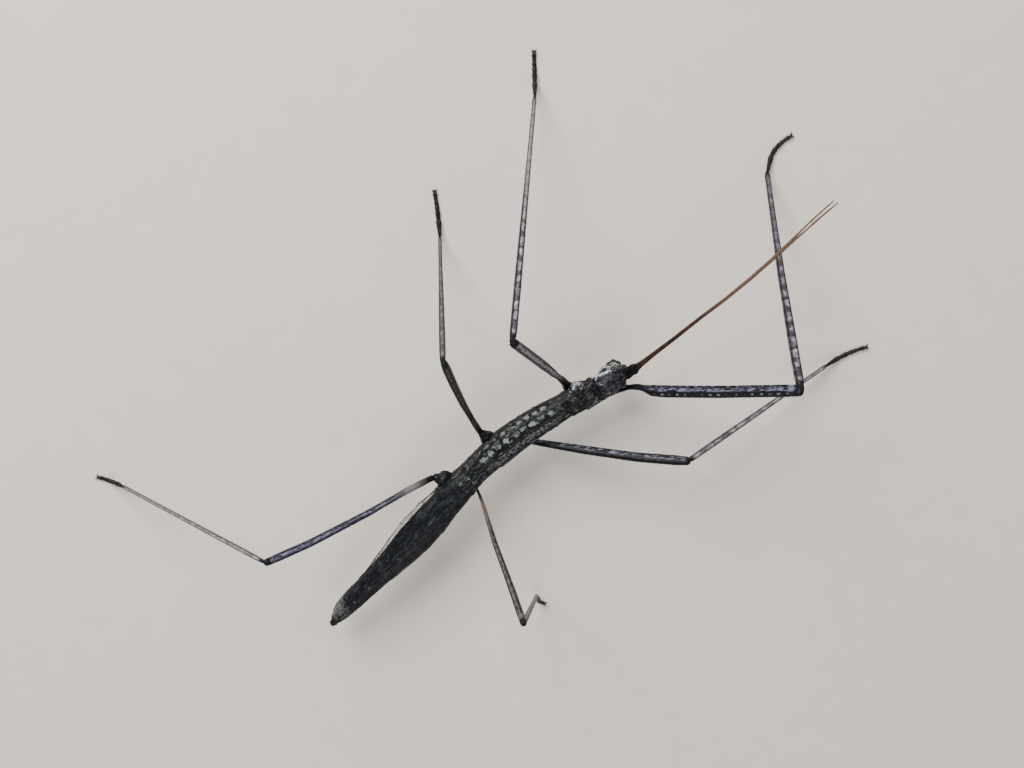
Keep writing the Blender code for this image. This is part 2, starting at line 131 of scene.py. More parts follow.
class Way:
    """A middle line that is read by distance from its start."""

    def __init__(self, points, rounds=14, reach=0.8):
        self.points = soften(points, rounds)
        self.reach = reach
        steps = np.linalg.norm(np.diff(self.points, axis=0), axis=1)
        self.marks = np.concatenate(((0.0,), np.cumsum(steps)))
        self.length = self.marks[-1]

    def read(self, distance):
        return np.column_stack([np.interp(distance, self.marks, axis) for axis in self.points.T])

    def along(self, distance):
        """The direction at each distance."""
        low = np.clip(distance - self.reach, 0.0, self.length - self.reach)
        high = np.clip(distance + self.reach, self.reach, self.length)
        return unit(self.read(high) - self.read(low))

    def at(self, distance):
        """The place at each distance; past its ends the line goes straight on."""
        inside = np.clip(distance, 0.0, self.length)
        return self.read(inside) + self.along(distance) * (distance - inside)[:, None]

    def frames(self, distance, up_hint):
        """Middle, direction to the side, and up across the line, at each distance."""
        along = self.along(distance)
        side = unit(np.cross(along, up_hint))
        return self.at(distance), side, np.cross(side, along)


class Girth:
    """How far a CAD solid reaches from its middle line to a side, above and below."""

    def __init__(self, solid, way, up_hint, reach, rounds=2, skip=0.0, step=0.5):
        marks = np.arange(skip, way.length, step)
        middle, side, up = way.frames(marks, up_hint)
        found = []
        for mark, place, right, rise in zip(marks, middle, side, up):
            cuts = slice_at(solid, place, np.cross(rise, right), reach) - place
            if len(cuts) > 5:
                found.append((mark, np.abs(cuts @ right).max(), (cuts @ rise).max(), -(cuts @ rise).min()))
        self.marks, *sizes = np.array(found).T
        self.sizes = [soften(size, rounds) for size in sizes]

    def at(self, distance):
        """Reach to a side, up and down at each distance."""
        return [np.interp(distance, self.marks, size) for size in self.sizes]


def ends_of(solid, heading):
    """The middle of the end that a solid turns against a heading."""
    reach = solid[0] @ heading
    near = solid[0][reach < reach.min() + 0.3]
    return (near.min(axis=0) + near.max(axis=0)) / 2


def wobble(places, size, seed):
    """Smooth random values from -1 to 1 at places, with humps about as wide as size."""
    spots = places.reshape(-1, 3) / size + seed * 17.31
    return np.array([noise.noise(Vector(spot)) for spot in spots]).reshape(places.shape[:-1])


def warts(places, size, seed, bulk=0.34):
    """Scattered round bumps from 0 to 1 at places, about one to each cell of the given size."""
    spots = places.reshape(-1, 3) / size + seed * 9.17
    gaps = np.array([noise.voronoi(Vector(spot))[0][0] for spot in spots]).reshape(places.shape[:-1])
    return np.clip(1 - (gaps / bulk) ** 2, 0, 1)


def stack(*layers):
    """Numbers and grids of numbers as the last axis of one grid."""
    return np.stack(np.broadcast_arrays(*layers), axis=-1)


def round_turn(count):
    """Even turns all round a piece, in radians, as one row."""
    return np.linspace(0, 2 * math.pi, count, endpoint=False)[None]


def off_top(turn):
    """How far a turn is from the top, in degrees."""
    return np.degrees(np.arccos(np.cos(turn)))


def stand(name, data):
    """A new object in the scene, made from a mesh, a lamp or a lens."""
    made = bpy.data.objects.new(name, data)
    bpy.context.scene.collection.objects.link(made)
    return made


def loft(name, rings, lay, form, sharp=38.0):
    """A closed mesh through rings, which keeps for its finish each point's place on the piece laid straight
    (lay, millimetres across, along and up) and its turn, share of the length and ridge (form)."""
    count, around = rings.shape[:2]
    index = np.arange(count * around).reshape(count, around)
    onward = np.roll(index, -1, axis=1)
    faces = np.stack((index[:-1], onward[:-1], onward[1:], index[1:]), axis=-1).reshape(-1, 4).tolist()
    faces += [index[0][::-1].tolist(), index[-1].tolist()]
    mesh = bpy.data.meshes.new(name)
    mesh.from_pydata((rings.reshape(-1, 3) * MM).tolist(), [], faces)
    for label, values in (("lay", lay), ("form", form)):
        kept = mesh.attributes.new(label, "FLOAT_VECTOR", "POINT")
        kept.data.foreach_set("vector", np.broadcast_to(values, rings.shape).astype(np.float32).ravel())
    bm = bmesh.new()
    bm.from_mesh(mesh)
    if bm.calc_volume(signed=True) < 0:
        bmesh.ops.reverse_faces(bm, faces=bm.faces)
    bm.to_mesh(mesh)
    bm.free()
    mesh.shade_smooth()
    mesh.set_sharp_from_angle(angle=math.radians(sharp))
    return stand(name, mesh)


def mount(piece, finish, slot_name, *nodes):
    """Gives a piece its finish, ties it to the body and lets it stand for its CAD nodes."""
    piece.data.materials.append(finish)
    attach(piece, "root")
    if nodes:
        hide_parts(*nodes)


trunk = solid_of(*THORAX, *ABDOMEN)
BACKWARD = unit(np.array((-0.1, 1.0, 0.0)))
trunk_way = Way(follow(trunk, ends_of(trunk, BACKWARD), BACKWARD, TRUNK_REACH), 30)
trunk_girth = Girth(trunk, trunk_way, SKY, TRUNK_REACH, 6)
BODY_LENGTH = trunk_way.length


def over_body(distance, turn, rise):
    """Places over the trunk: distance along it, turn from the middle of the back towards the insect's left,
    and rise off the shell. Gives the places and the same points with the body laid straight."""
    middle, side, up = trunk_way.frames(distance, SKY)
    half_width, above, below = (reach[:, None] for reach in trunk_girth.at(distance))
    drawn_in = np.clip((distance - BODY_LENGTH + TAIL_TAPER) / TAIL_TAPER, 0, 1.1)[:, None]
    half_width = half_width * (1 - 0.52 * drawn_in ** 2)
    above = above * (1 - 0.35 * drawn_in ** 2)
    squarer = 1 + 0.07 * np.sin(2 * turn) ** 2
    across = np.sin(turn) * (half_width * squarer + rise)
    high = np.cos(turn) * (np.where(np.cos(turn) > 0, above, below) * squarer + rise)
    places = middle[:, None] + side[:, None] * across[..., None] + up[:, None] * high[..., None]
    return places, stack(across, distance[:, None], high)


class Value:
    """A shader node's output. A sum or product with it makes the node that works it out."""

    def __init__(self, socket):
        self.socket = socket
        self.tree = socket.id_data

    def __add__(self, other):
        return calc("ADD", self, other)

    def __sub__(self, other):
        return calc("SUBTRACT", self, other)

    def __rsub__(self, other):
        return calc("SUBTRACT", other, self)

    def __mul__(self, other):
        return calc("MULTIPLY", self, other)

    def __truediv__(self, other):
        return calc("DIVIDE", self, other)


def feed(socket, value):
    """Joins an input to a node's output, or sets it to a number, a vector or a colour."""
    if isinstance(value, Value):
        value.tree.links.new(value.socket, socket)
    elif socket.type == "RGBA":
        socket.default_value = (*value, 1.0)
    else:
        socket.default_value = value


def node(tree, kind, settings=None, **inputs):
    """Makes a shader node, and gives its outputs by name."""
    made = tree.nodes.new("ShaderNode" + kind)
    for key, setting in (settings or {}).items():
        setattr(made, key, setting)
    for key, value in inputs.items():
        feed(made.inputs[key.replace("_", " ")], value)
    return {output.name: Value(output) for output in made.outputs}


def calc(operation, *values):
    """One step of arithmetic on masks and measures."""
    tree = next(value.tree for value in values if isinstance(value, Value))
    made = tree.nodes.new("ShaderNodeMath")
    made.operation = operation
    for socket, value in zip(made.inputs, values):
        feed(socket, value)
    return Value(made.outputs[0])


def tint(share, first, second):
    """The first colour turning into the second as share goes from 0 to 1."""
    made = share.tree.nodes.new("ShaderNodeMix")
    made.data_type = "RGBA"
    for index, value in ((0, share), (6, first), (7, second)):
        feed(made.inputs[index], value)
    return Value(made.outputs[2])


def ease(value, low, high):
    """0 below low, 1 above high and a soft step between; low may be the greater."""
    soft_step = {"interpolation_type": "SMOOTHSTEP"}
    return node(value.tree, "MapRange", soft_step, Value=value, From_Min=low, From_Max=high)["Result"]


def between(value, low, full, lasting, high):
    """0 below low and above high, and 1 from full to lasting."""
    return ease(value, low, full) * ease(value, high, lasting)


def at_least(least, mask):
    """A mask that goes from least to 1 and not from 0."""
    return mask * (1.0 - least) + least


def split(vector):
    return node(vector.tree, "SeparateXYZ", Vector=vector)


def clouds(place, scale, detail, **more):
    """Soft noise from 0 to 1, with its scale in clouds to the millimetre."""
    return node(place.tree, "TexNoise", Vector=place, Scale=scale, Detail=detail, **more)["Fac"]


def stirred(value, cloud, amount):
    """A measure pushed either way by clouds, by up to half the amount."""
    return cloud * amount + (value - amount / 2)


def drawn_out(place, across, along):
    """A place scaled across and along its piece, so that clouds on it come out as streaks."""
    return node(place.tree, "Mapping", Vector=place, Scale=(across, along, across))["Vector"]


def faded(colour, share):
    return tuple(share * value for value in colour)


def group(name, inputs, outputs):
    """An empty node group with named sockets, its inputs as seen inside it, and its outputs to feed."""
    tree = bpy.data.node_groups.new(name, "ShaderNodeTree")
    for label, kind, value in inputs:
        socket = tree.interface.new_socket(name=label, in_out="INPUT", socket_type="NodeSocket" + kind)
        if value is not None:
            socket.default_value = (*value, 1.0) if kind == "Color" else value
    for label, kind in outputs:
        tree.interface.new_socket(name=label, in_out="OUTPUT", socket_type="NodeSocket" + kind)
    given = {output.name: Value(output) for output in tree.nodes.new("NodeGroupInput").outputs}
    return tree, given, tree.nodes.new("NodeGroupOutput").inputs


# The grain that all the shell and skin shares: cloudy mottling, small flecks and a pebbled relief.
grain_tree, given, out = group(
    "shell_grain",
    (("Place", "Vector", None), ("Ground", "Color", (0.02, 0.02, 0.02)), ("Mottle", "Color", (0.1, 0.1, 0.1)),
     ("Fleck", "Color", (0.3, 0.3, 0.3)), ("Mottle Scale", "Float", 0.9), ("Mottle Level", "Float", 0.5),
     ("Fleck Scale", "Float", 3.0), ("Fleck Level", "Float", 0.64), ("Pebble Scale", "Float", 4.0)),
    (("Color", "Color"), ("Roughness", "Float"), ("Height", "Float")))
cloud = clouds(given["Place"], given["Mottle Scale"], 4.0, Roughness=0.62, Distortion=0.5)
speck = clouds(given["Place"], given["Fleck Scale"], 2.0, Roughness=0.5)
pebble = node(grain_tree, "TexVoronoi", {"feature": "SMOOTH_F1"}, Vector=given["Place"],
              Scale=given["Pebble Scale"], Smoothness=0.6)["Distance"]
mottled = ease(cloud, given["Mottle Level"] - 0.09, given["Mottle Level"] + 0.10)
flecked = ease(speck, given["Fleck Level"], given["Fleck Level"] + 0.07)
feed(out["Color"], tint(flecked, tint(mottled, given["Ground"], given["Mottle"]), given["Fleck"]))
feed(out["Roughness"], pebble * 0.16 + (cloud * 0.30 + 0.26))
feed(out["Height"], speck * 0.4 + (pebble * -0.7 + cloud))


def grain(lay, stretch, ground, mottle, fleck, mottling, flecking, pebbling):
    """The shared grain laid on one material and drawn out lengthwise by stretch: its three colours, the
    scale and level of its mottling and of its flecks, and the scale of its pebbles."""
    return node(lay.tree, "Group", {"node_tree": grain_tree}, Place=drawn_out(lay, 1.0, 1.0 / stretch),
                Ground=ground, Mottle=mottle, Fleck=fleck, Mottle_Scale=mottling[0], Mottle_Level=mottling[1],
                Fleck_Scale=flecking[0], Fleck_Level=flecking[1], Pebble_Scale=pebbling)


def bare_finish(name):
    """A new material, and the inputs of its surface shader."""
    finish = bpy.data.materials.new(name)
    finish.use_nodes = True
    return finish, finish.node_tree.nodes["Principled BSDF"].inputs


def shell(name, coat=0.0):
    """A new material with a thin clear coat, and where its piece keeps its lay and its form."""
    finish, surface = bare_finish(name)
    surface["Specular IOR Level"].default_value = 0.08
    surface["Coat Weight"].default_value = coat
    surface["Coat Roughness"].default_value = 0.25
    lay, form = (node(finish.node_tree, "Attribute", {"attribute_name": kept})["Vector"]
                 for kept in ("lay", "form"))
    return finish, lay, split(form)


def dress(finish, colour, roughness, height, depth):
    """Joins a material's colour, roughness and relief to its shader; depth is in millimetres."""
    surface = finish.node_tree.nodes["Principled BSDF"].inputs
    feed(surface["Base Color"], colour)
    feed(surface["Roughness"], roughness)
    relief = node(finish.node_tree, "Bump", Height=height, Distance=depth * MM, Strength=0.8)
    feed(surface["Normal"], relief["Normal"])
    return finish


skin_marks = np.arange(-1.2, BODY_LENGTH - 0.8, SKIN_STEP)
skin_turn = round_turn(SKIN_AROUND)
laid = over_body(skin_marks, skin_turn, 0.0)[1]
folds = 0.07 * np.sin(skin_marks * 5.2)[:, None] * np.abs(np.sin(skin_turn)) + 0.05 * wobble(laid, 0.8, 1)
skin_places, skin_lay = over_body(skin_marks, skin_turn, folds - SKIN_DEPTH)
skin_form = stack(off_top(skin_turn), (skin_marks / BODY_LENGTH)[:, None], 0.0)
body_skin = loft("body_skin", skin_places, skin_lay, skin_form)

skin_finish, lay, form = shell("soft_skin")
soft = grain(lay, 5.0, (0.130, 0.130, 0.132), (0.54, 0.54, 0.52), (0.070, 0.068, 0.068), (1.3, 0.50),
             (1.9, 0.60), 3.0)
wrinkle = node(lay.tree, "TexWave", {"bands_direction": "Y"}, Vector=lay, Scale=0.34, Distortion=7.0,
               Detail=3.0)["Fac"]
# Painted shade: the grooves of the fine folds are darkened.
colour = tint(ease(wrinkle, 0.35, 0.10) * 0.30, soft["Color"], (0.060, 0.058, 0.056))
colour = tint(ease(form["Y"], 0.50, 0.42), colour, (0.012, 0.012, 0.013))
dress(skin_finish, colour, soft["Roughness"], wrinkle * 0.6 + soft["Height"], 0.10)
surface = skin_finish.node_tree.nodes["Principled BSDF"].inputs
surface["Subsurface Weight"].default_value = 0.12
surface["Subsurface Radius"].default_value = (0.0006, 0.0004, 0.0003)
mount(body_skin, skin_finish, "trunk_shell", *THORAX, *ABDOMEN)


# ---------------------------------------------------------------- back plates
# The hard plates over the thorax and abdomen, one to each segment: black shell with grey mottling. Each is
# a thin curved piece with a keel down its middle, and its hind edge laps over the next.

PLATE_THICKNESS = 0.16
PLATE_STEP = 0.24
PLATE_POINTS = 61
TUCK = 0.30
LAP = 0.42
# How far round from the middle of the back the plates reach, in degrees, by millimetres along the body.
BACK_REACH = ((0, 108), (9, 116), (37, 116), (46, 110), (52, 92), (58, 72), (65, 62), (73, 60), (80, 62),
              (87, 72), (94, 86), (100, 98), (105, 106), (109, 110), (113, 118))


def span_of(name):
    """Where a CAD node of the trunk starts and ends along the body."""
    corners = solid_of(name)[0]
    gaps = np.linalg.norm(corners[:, None] - trunk_way.points[None], axis=2)
    marks = trunk_way.marks[gaps.argmin(axis=1)]
    for _ in range(6):
        marks = marks + np.sum((corners - trunk_way.at(marks)) * trunk_way.along(marks), axis=1)
    return marks.min(), marks.max()


# The plates meet halfway between the end of one CAD segment and the start of the next.
trunk_spans = [span_of(name) for name in THORAX + ABDOMEN]
joins = [(before[1] + after[0]) / 2 for before, after in zip(trunk_spans, trunk_spans[1:])]
plate_ends = [trunk_spans[0][0], *joins, trunk_spans[-1][1]]


def plate(name, start, end, middle_turn, reach, relief, lift=0.0, narrow=0.0):
    """A curved shell plate of even thickness. Reach is how far it goes to each side of its middle by place
    along the body, relief(share, sideways, lay) is its face, and narrow draws in its hind end."""
    share = np.linspace(0, 1, int((end - start) / PLATE_STEP) + 2)
    marks = start + (end - start) * share
    sideways = np.linspace(-1, 1, PLATE_POINTS)
    corner = 1 - 0.10 * np.clip(1 - share / 0.05, 0, 1) - 0.06 * np.clip(1 - (1 - share) / 0.04, 0, 1) ** 2
    arc = np.radians(np.interp(marks, *np.array(reach).T)) * corner * (1 - narrow * share ** 1.6)
    arc = arc[:, None]
    turn = math.radians(middle_turn) + sideways[None] * arc
    laid = over_body(marks, turn, 0.0)[1]
    rise = lift + relief(share[:, None], sideways[None], laid)
    outer, outer_lay = over_body(marks, turn, rise)
    inner, inner_lay = over_body(marks, turn, rise - PLATE_THICKNESS)
    form = stack(np.degrees(np.abs(sideways[None] * arc)), share[:, None], rise)
    return loft(name, np.concatenate((outer, inner[:, ::-1]), axis=1),
                np.concatenate((outer_lay, inner_lay[:, ::-1]), axis=1),
                np.concatenate((form, form[:, ::-1]), axis=1), 50.0)


def ridge(value, place, width):
    """1 on a narrow ridge at a place, falling to 0 over its width."""
    return np.exp(-((value - place) / width) ** 2)


def lapped(share):
    """The long profile of every plate: tucked in at the front, beaded at the hind edge."""
    return -0.30 * np.clip(1 - share / 0.10, 0, 1) ** 2 + 0.13 * share ** 3 + 0.07 * ridge(share, 0.975, 0.02)


def thorax_relief(share, sideways, laid):
    keel = 0.16 * ridge(sideways, 0, 0.020) - 0.05 * ridge(sideways, 0, 0.075)
    side_keel = 0.10 * ridge(np.abs(sideways), 0.74, 0.035)
    rim = 0.10 * ridge(np.abs(sideways), 1.0, 0.05)
    knobs = 0.16 * warts(laid, 1.5, 3) * (np.abs(wobble(laid, 2.5, 5)) > 0.12)
    return lapped(share) + keel + side_keel + rim + knobs + 0.10 * wobble(laid, 1.3, 2)


def collar_relief(share, sideways, laid):
    groove = -0.26 * ridge(share, 0.42, 0.05) * (1 - 0.6 * ridge(sideways, 0, 0.12))
    furrow = -0.12 * ridge(sideways, 0, 0.03)
    front_bead = 0.16 * ridge(share, 0.13, 0.04)
    sloped = -0.85 * np.clip(1 - share / 0.40, 0, 1) * np.abs(sideways) ** 3
    return thorax_relief(share, sideways, laid) + groove + furrow + front_bead + sloped


def tergite_relief(share, sideways, laid):
    keel = 0.11 * ridge(sideways, 0, 0.026)
    side_keel = 0.06 * ridge(np.abs(sideways), 0.52, 0.05)
    rim = 0.10 * ridge(np.abs(sideways), 1.0, 0.04)
    swell = 0.10 * np.sin(math.pi * share)
    rough = 0.09 * wobble(laid, 1.1, 6) + 0.04 * warts(laid, 0.9, 4)
    return lapped(share) + keel + side_keel + rim + swell + rough


# Two rows of ragged pale ovals, which run down the left side of the thorax.
oval_tree, given, out = group(
    "oval_row",
    (("Turn", "Float", 0.0), ("Along", "Float", 0.0), ("Ragged", "Float", 0.5), ("Row", "Float", 24.0),
     ("Half Width", "Float", 9.0), ("Pitch", "Float", 3.0), ("Half Length", "Float", 1.1),
     ("Shift", "Float", 0.0)),
    (("Mask", "Float"),))
across = (given["Turn"] - given["Row"]) / given["Half Width"]
paces = given["Along"] / given["Pitch"] + given["Shift"]
inside = (calc("FRACT", paces) - 0.5) * (given["Pitch"] / given["Half Length"])
feed(out["Mask"], ease(across * across + inside * inside + given["Ragged"], 1.25, 0.75))


def ovals(turn, along, ragged, **inputs):
    return node(turn.tree, "Group", {"node_tree": oval_tree}, Turn=turn, Along=along, Ragged=ragged,
                **inputs)["Mask"]


def thorax_finish(name, spotted, shoulder_highlight):
    """A double dark line beside the keel, and darker lower sides. The rows of pale ovals show only on the lit
    left side; on the right a dimmer purple-grey band and a darker lower side stand for them as painted shade.
    Spotted is how strongly the ovals and that band show, and shoulder how strongly the pale blue flecks over
    the front hips show, which are painted highlights."""
    finish, lay, form = shell(name, 0.06)
    place = split(lay)
    turn, along = form["X"], place["Y"]
    base = grain(lay, 2.6, (0.003, 0.0035, 0.004), (0.028, 0.031, 0.032), (0.095, 0.104, 0.106), (0.95, 0.53),
                 (1.5, 0.60), 3.4)
    # The insect's left faces the light, so the pale ovals are kept to that side.
    left = ease(place["X"], -0.1, 0.1)
    ragged = clouds(lay, 1.1, 3.0)
    uneven = ragged * 3.4 - 1.55
    wander = clouds(lay, 0.33, 1.0)
    swayed = wander * 3.0 + along
    turned = stirred(turn, wander, 16.0)
    inner = ovals(turned, swayed, uneven, Row=23.0, Half_Width=9.5, Pitch=3.05, Half_Length=1.15, Shift=0.15)
    outer = ovals(turned, swayed, uneven, Row=57.0, Half_Width=8.0, Pitch=2.95, Half_Length=1.05, Shift=0.6)
    reached = between(along, 11.0, 16.0, 37.0, 44.0)
    fading = at_least(0.22, ease(clouds(lay, 0.42, 1.0), 0.42, 0.60))
    spots = calc("MAXIMUM", inner, outer * 0.75) * reached * left * fading
    fine = clouds(lay, 3.6, 2.0)
    colour = tint(spots * spotted, base["Color"], tint(fine, (0.05, 0.06, 0.06), (0.36, 0.40, 0.38)))
    # Painted shade: on the shaded right a dimmer purple-grey band stands in for the ovals.
    beside = between(turn, 8.0, 12.0, 27.0, 36.0) * ease(ragged, 0.40, 0.66) * reached * (1.0 - left)
    colour = tint(beside * spotted, colour, (0.110, 0.103, 0.112))
    lines = between(turn, 1.6, 2.6, 6.0, 8.5)
    colour = tint(lines * 0.95, colour, (0.003, 0.0035, 0.004))
    keel = ease(turn, 2.2, 0.8) * ease(fine, 0.46, 0.60)
    colour = tint(keel * 0.5, colour, (0.075, 0.075, 0.072))
    # Darker lower sides, their own colour; on the right the dark starts higher up, as painted shade.
    dark_and_shaded_side = ease(turn - left * 26.0, 44.0, 60.0)
    colour = tint(dark_and_shaded_side * 0.85, colour, (0.004, 0.0045, 0.005))
    if shoulder_highlight:
        # Painted highlights: pale blue flecks over the front hips stand for the shine of the glossy hip
        # joints.
        hip_highlight = ease(turn, 52.0, 64.0) * between(form["Y"], 0.16, 0.28, 0.68, 0.78)
        colour = tint(hip_highlight * ease(ragged, 0.475, 0.515) * shoulder_highlight, colour, (0.40, 0.45, 0.54))
    return dress(finish, colour, base["Roughness"], base["Height"], 0.07)


collar_shell = thorax_finish("collar_shell", 0.0, 0.95)
thorax_shell = thorax_finish("thorax_shell", 0.9, 0.0)
abdomen_shell, lay, form = shell("abdomen_shell", 0.06)
place = split(lay)
patch = clouds(lay, 1.1, 3.0)
# Greyer towards the tail, most of all on the left, up to a black tip.
aft = ease(stirred(place["Y"], patch, 9.0), BODY_LENGTH - 12.5, BODY_LENGTH - 6.0)
aft = aft * ease(place["Y"], BODY_LENGTH - 2.9, BODY_LENGTH - 4.7)
aft = aft * at_least(0.55, ease(place["X"], -1.8, 1.2))
mottle = tint(aft, (0.020, 0.023, 0.027), (0.085, 0.087, 0.085))
fleck = tint(aft, (0.056, 0.063, 0.069), (0.150, 0.153, 0.148))
base = grain(lay, 3.2, (0.004, 0.0045, 0.006), mottle, fleck, (1.15, aft * -0.07 + 0.56), (2.2, 0.675), 3.8)
spot = between(form["Y"], 0.76, 0.84, 0.90, 0.97) * ease(form["X"], 8.0, 4.0) * ease(patch, 0.50, 0.60)
colour = tint(spot * 0.55, base["Color"], (0.20, 0.21, 0.21))
edge = ease(form["X"], 12.0, 42.0) * ease(patch, 0.40, 0.60) * aft
colour = tint(edge * 0.85, colour, (0.116, 0.118, 0.110))
dress(abdomen_shell, colour, base["Roughness"], base["Height"], 0.06)
for name, start, end in zip(THORAX + ABDOMEN, plate_ends, plate_ends[1:]):
    if name == "prothorax":
        relief, finish = collar_relief, collar_shell
    elif name in THORAX:
        relief, finish = thorax_relief, thorax_shell
    else:
        relief, finish = tergite_relief, abdomen_shell
    last = name == ABDOMEN[-1]
    piece = plate(f"{name}_back", start - TUCK, end + (0.0 if last else LAP), 0.0, BACK_REACH, relief, 0.02)
    mount(piece, finish, "trunk_shell")


# ---------------------------------------------------------------- belly plates
# The plates along the underside, flatter and browner than those of the back. They stand apart from the
# back plates on the abdomen, so the soft skin shows between them as a pale band on each flank.

# How wide the bare flank is between the back and belly plates, in degrees, by millimetres along the body.
FLANK = ((0, 4), (46, 5), (52, 20), (58, 52), (65, 66), (73, 68), (80, 66), (87, 50), (94, 24), (100, 8),
         (113, 6))
BELLY_REACH = tuple((mark, 180 - reach - np.interp(mark, *np.array(FLANK).T)) for mark, reach in BACK_REACH)


def sternite_relief(share, sideways, laid):
    furrow = -0.07 * ridge(sideways, 0, 0.05)
    rim = 0.12 * ridge(np.abs(sideways), 1.0, 0.045)
    return lapped(share) + furrow + rim + 0.07 * wobble(laid, 1.2, 8) + 0.03 * warts(laid, 0.8, 9)


belly_shell, lay, form = shell("belly_shell", 0.04)
base = grain(lay, 1.5, (0.012, 0.010, 0.009), (0.040, 0.033, 0.028), (0.100, 0.085, 0.072), (1.1, 0.5),
             (2.6, 0.60), 4.0)
colour = tint(ease(form["X"], 36.0, 52.0) * 0.7, base["Color"], (0.060, 0.032, 0.022))
dress(belly_shell, colour, base["Roughness"], base["Height"], 0.06)
for name, start, end in zip(THORAX + ABDOMEN, plate_ends, plate_ends[1:]):
    last = name == ABDOMEN[-1]
    piece = plate(f"{name}_belly", start - TUCK, end + (0.0 if last else LAP), 180.0, BELLY_REACH,
                  sternite_relief)
    mount(piece, belly_shell, "trunk_shell")


# ---------------------------------------------------------------- head
# One hard capsule, domed behind and blunt in front, with a furrow down the crown, a ridge behind each eye
# and a raised rim round each eye and feeler socket. Black and purple-grey, with pale streaks on its cheeks
# that are partly their own pattern and partly a painted highlight.

HEAD_STEP = 0.15
HEAD_AROUND = 112
HEAD_REACH = 5.5
NECK_TUCK = 1.3
# The folds that run along it: height, radians from the crown, half width, start, end ahead of the nape, and
# the length over which they fade.
HEAD_FOLDS = ((-0.15, 0.0, 0.06, 2.6, 1.0, 1.0), (0.20, 0.42, 0.26, 3.4, 1.6, 2.0),
              (0.16, 1.10, 0.07, 3.6, 1.0, 1.2), (-0.16, 1.72, 0.09, 1.6, 0.8, 1.2))
SIDES = {"left": 1, "right": -1}
FEELER_REACH = 1.3
# The feelers lie side by side: the share of the gap between them that is closed, and where they part again.
FEELERS_CLOSED = 0.36
FEELERS_PART = 68.0

head_solid = solid_of("head")
head_way = Way(follow(head_solid, ends_of(head_solid, BACKWARD), BACKWARD, HEAD_REACH), 20)
head_girth = Girth(head_solid, head_way, SKY, HEAD_REACH, 3)


def middle_of(name):
    """The middle of a CAD node's box, in millimetres."""
    low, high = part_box(name)
    return (np.array(low) + np.array(high)) / 2 / MM


def half_size(name):
    low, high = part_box(name)
    return (np.array(high) - np.array(low)) / 2 / MM


def within(value, low, high, soft):
    """1 between low and high, easing to 0 outside them over the soft distance."""
    rise = np.clip((value - low) / soft + 0.5, 0, 1)
    fall = np.clip((high - value) / soft + 0.5, 0, 1)
    return rise * rise * (3 - 2 * rise) * fall * fall * (3 - 2 * fall)


def run(start, end, step, nose, tail):
    """Marks from start to end, closer together at the two rounded ends, and how open each ring is."""
    quarter = np.linspace(0, math.pi / 2, 7)
    count = max(2, int((end - start - nose - tail) / step))
    straight = np.linspace(start + nose, end - tail, count)[1:-1]
    marks = np.concatenate((start + nose * (1 - np.cos(quarter)), straight,
                            end - tail * (1 - np.cos(quarter[::-1]))))
    open_share = np.concatenate((np.sin(quarter), np.ones(len(straight)), np.sin(quarter[::-1])))
    return marks, np.maximum(open_share, 0.04)


def feeler_way(side):
    solid = solid_of(f"antenna_{side}")
    forward = unit(np.array((0.05, -1.0, 0.25)))
    return Way(follow(solid, ends_of(solid, forward), forward, FEELER_REACH), 20)


feeler_ways = {side: feeler_way(side) for side in SIDES}
apart = {side: way.points.copy() for side, way in feeler_ways.items()}
for side, other in (("left", "right"), ("right", "left")):
    mine, theirs = apart[side], apart[other]
    nearest = theirs[np.linalg.norm(mine[:, None] - theirs[None], axis=2).argmin(axis=1)]
    marks = feeler_ways[side].marks
    held = np.clip((marks - 0.3) / 2.0, 0, 1) * FEELERS_CLOSED * np.clip((FEELERS_PART - marks) / 14.0, 0, 1)
    feeler_ways[side].points = mine + (nearest - mine) * held[:, None]

marks, opened = run(-0.5, head_way.length + NECK_TUCK, HEAD_STEP, 1.1, 0.4)
turn = round_turn(HEAD_AROUND)
middle, side_way, up_way = head_way.frames(marks, SKY)
half_width, above, below = (reach[:, None] for reach in head_girth.at(marks))
outward = side_way[:, None] * np.sin(turn)[..., None] + up_way[:, None] * np.cos(turn)[..., None]
head_across = np.sin(turn) * half_width * opened[:, None]
head_high = np.cos(turn) * np.where(np.cos(turn) > 0, above, below) * opened[:, None]
bare = middle[:, None] + side_way[:, None] * head_across[..., None] + up_way[:, None] * head_high[..., None]
off_crown = np.abs((turn + math.pi) % (2 * math.pi) - math.pi)
mark = marks[:, None]
crown_end = head_way.length
rise = sum(height * ridge(off_crown, place, width) * within(mark, start, crown_end - short, fade)
           for height, place, width, start, short, fade in HEAD_FOLDS)
rise = rise - 0.12 * ridge(off_crown, 0.62 - 0.13 * (mark - 1.2), 0.07) * within(mark, 1.0, 4.4, 0.8)
rise = rise + 0.16 * ridge(mark, crown_end - 0.5, 0.20) - 0.30 * within(mark, crown_end - 0.1, 99.0, 0.3)
for side in SIDES:
    eye_gap = np.linalg.norm(bare - middle_of(f"eye_{side}"), axis=-1)
    eye_radius = half_size(f"eye_{side}")[2]
    rise = rise + 0.20 * ridge(eye_gap, eye_radius + 0.22, 0.16)
    rise = rise - 0.40 * within(eye_gap, -9.0, eye_radius - 0.1, 0.3)
    root_gap = np.linalg.norm(bare - feeler_ways[side].at(np.array((-0.6,)))[0], axis=-1)
    rise = rise + 0.18 * ridge(root_gap, 0.85, 0.18)
rise = rise + 0.05 * wobble(bare, 0.9, 11) + 0.07 * warts(bare, 0.85, 12)
head_places = bare + outward * (rise * opened[:, None])[..., None]
head_lay = stack(head_across, mark, head_high)
head = loft("head_capsule", head_places, head_lay, stack(np.degrees(off_crown), mark / crown_end, rise))

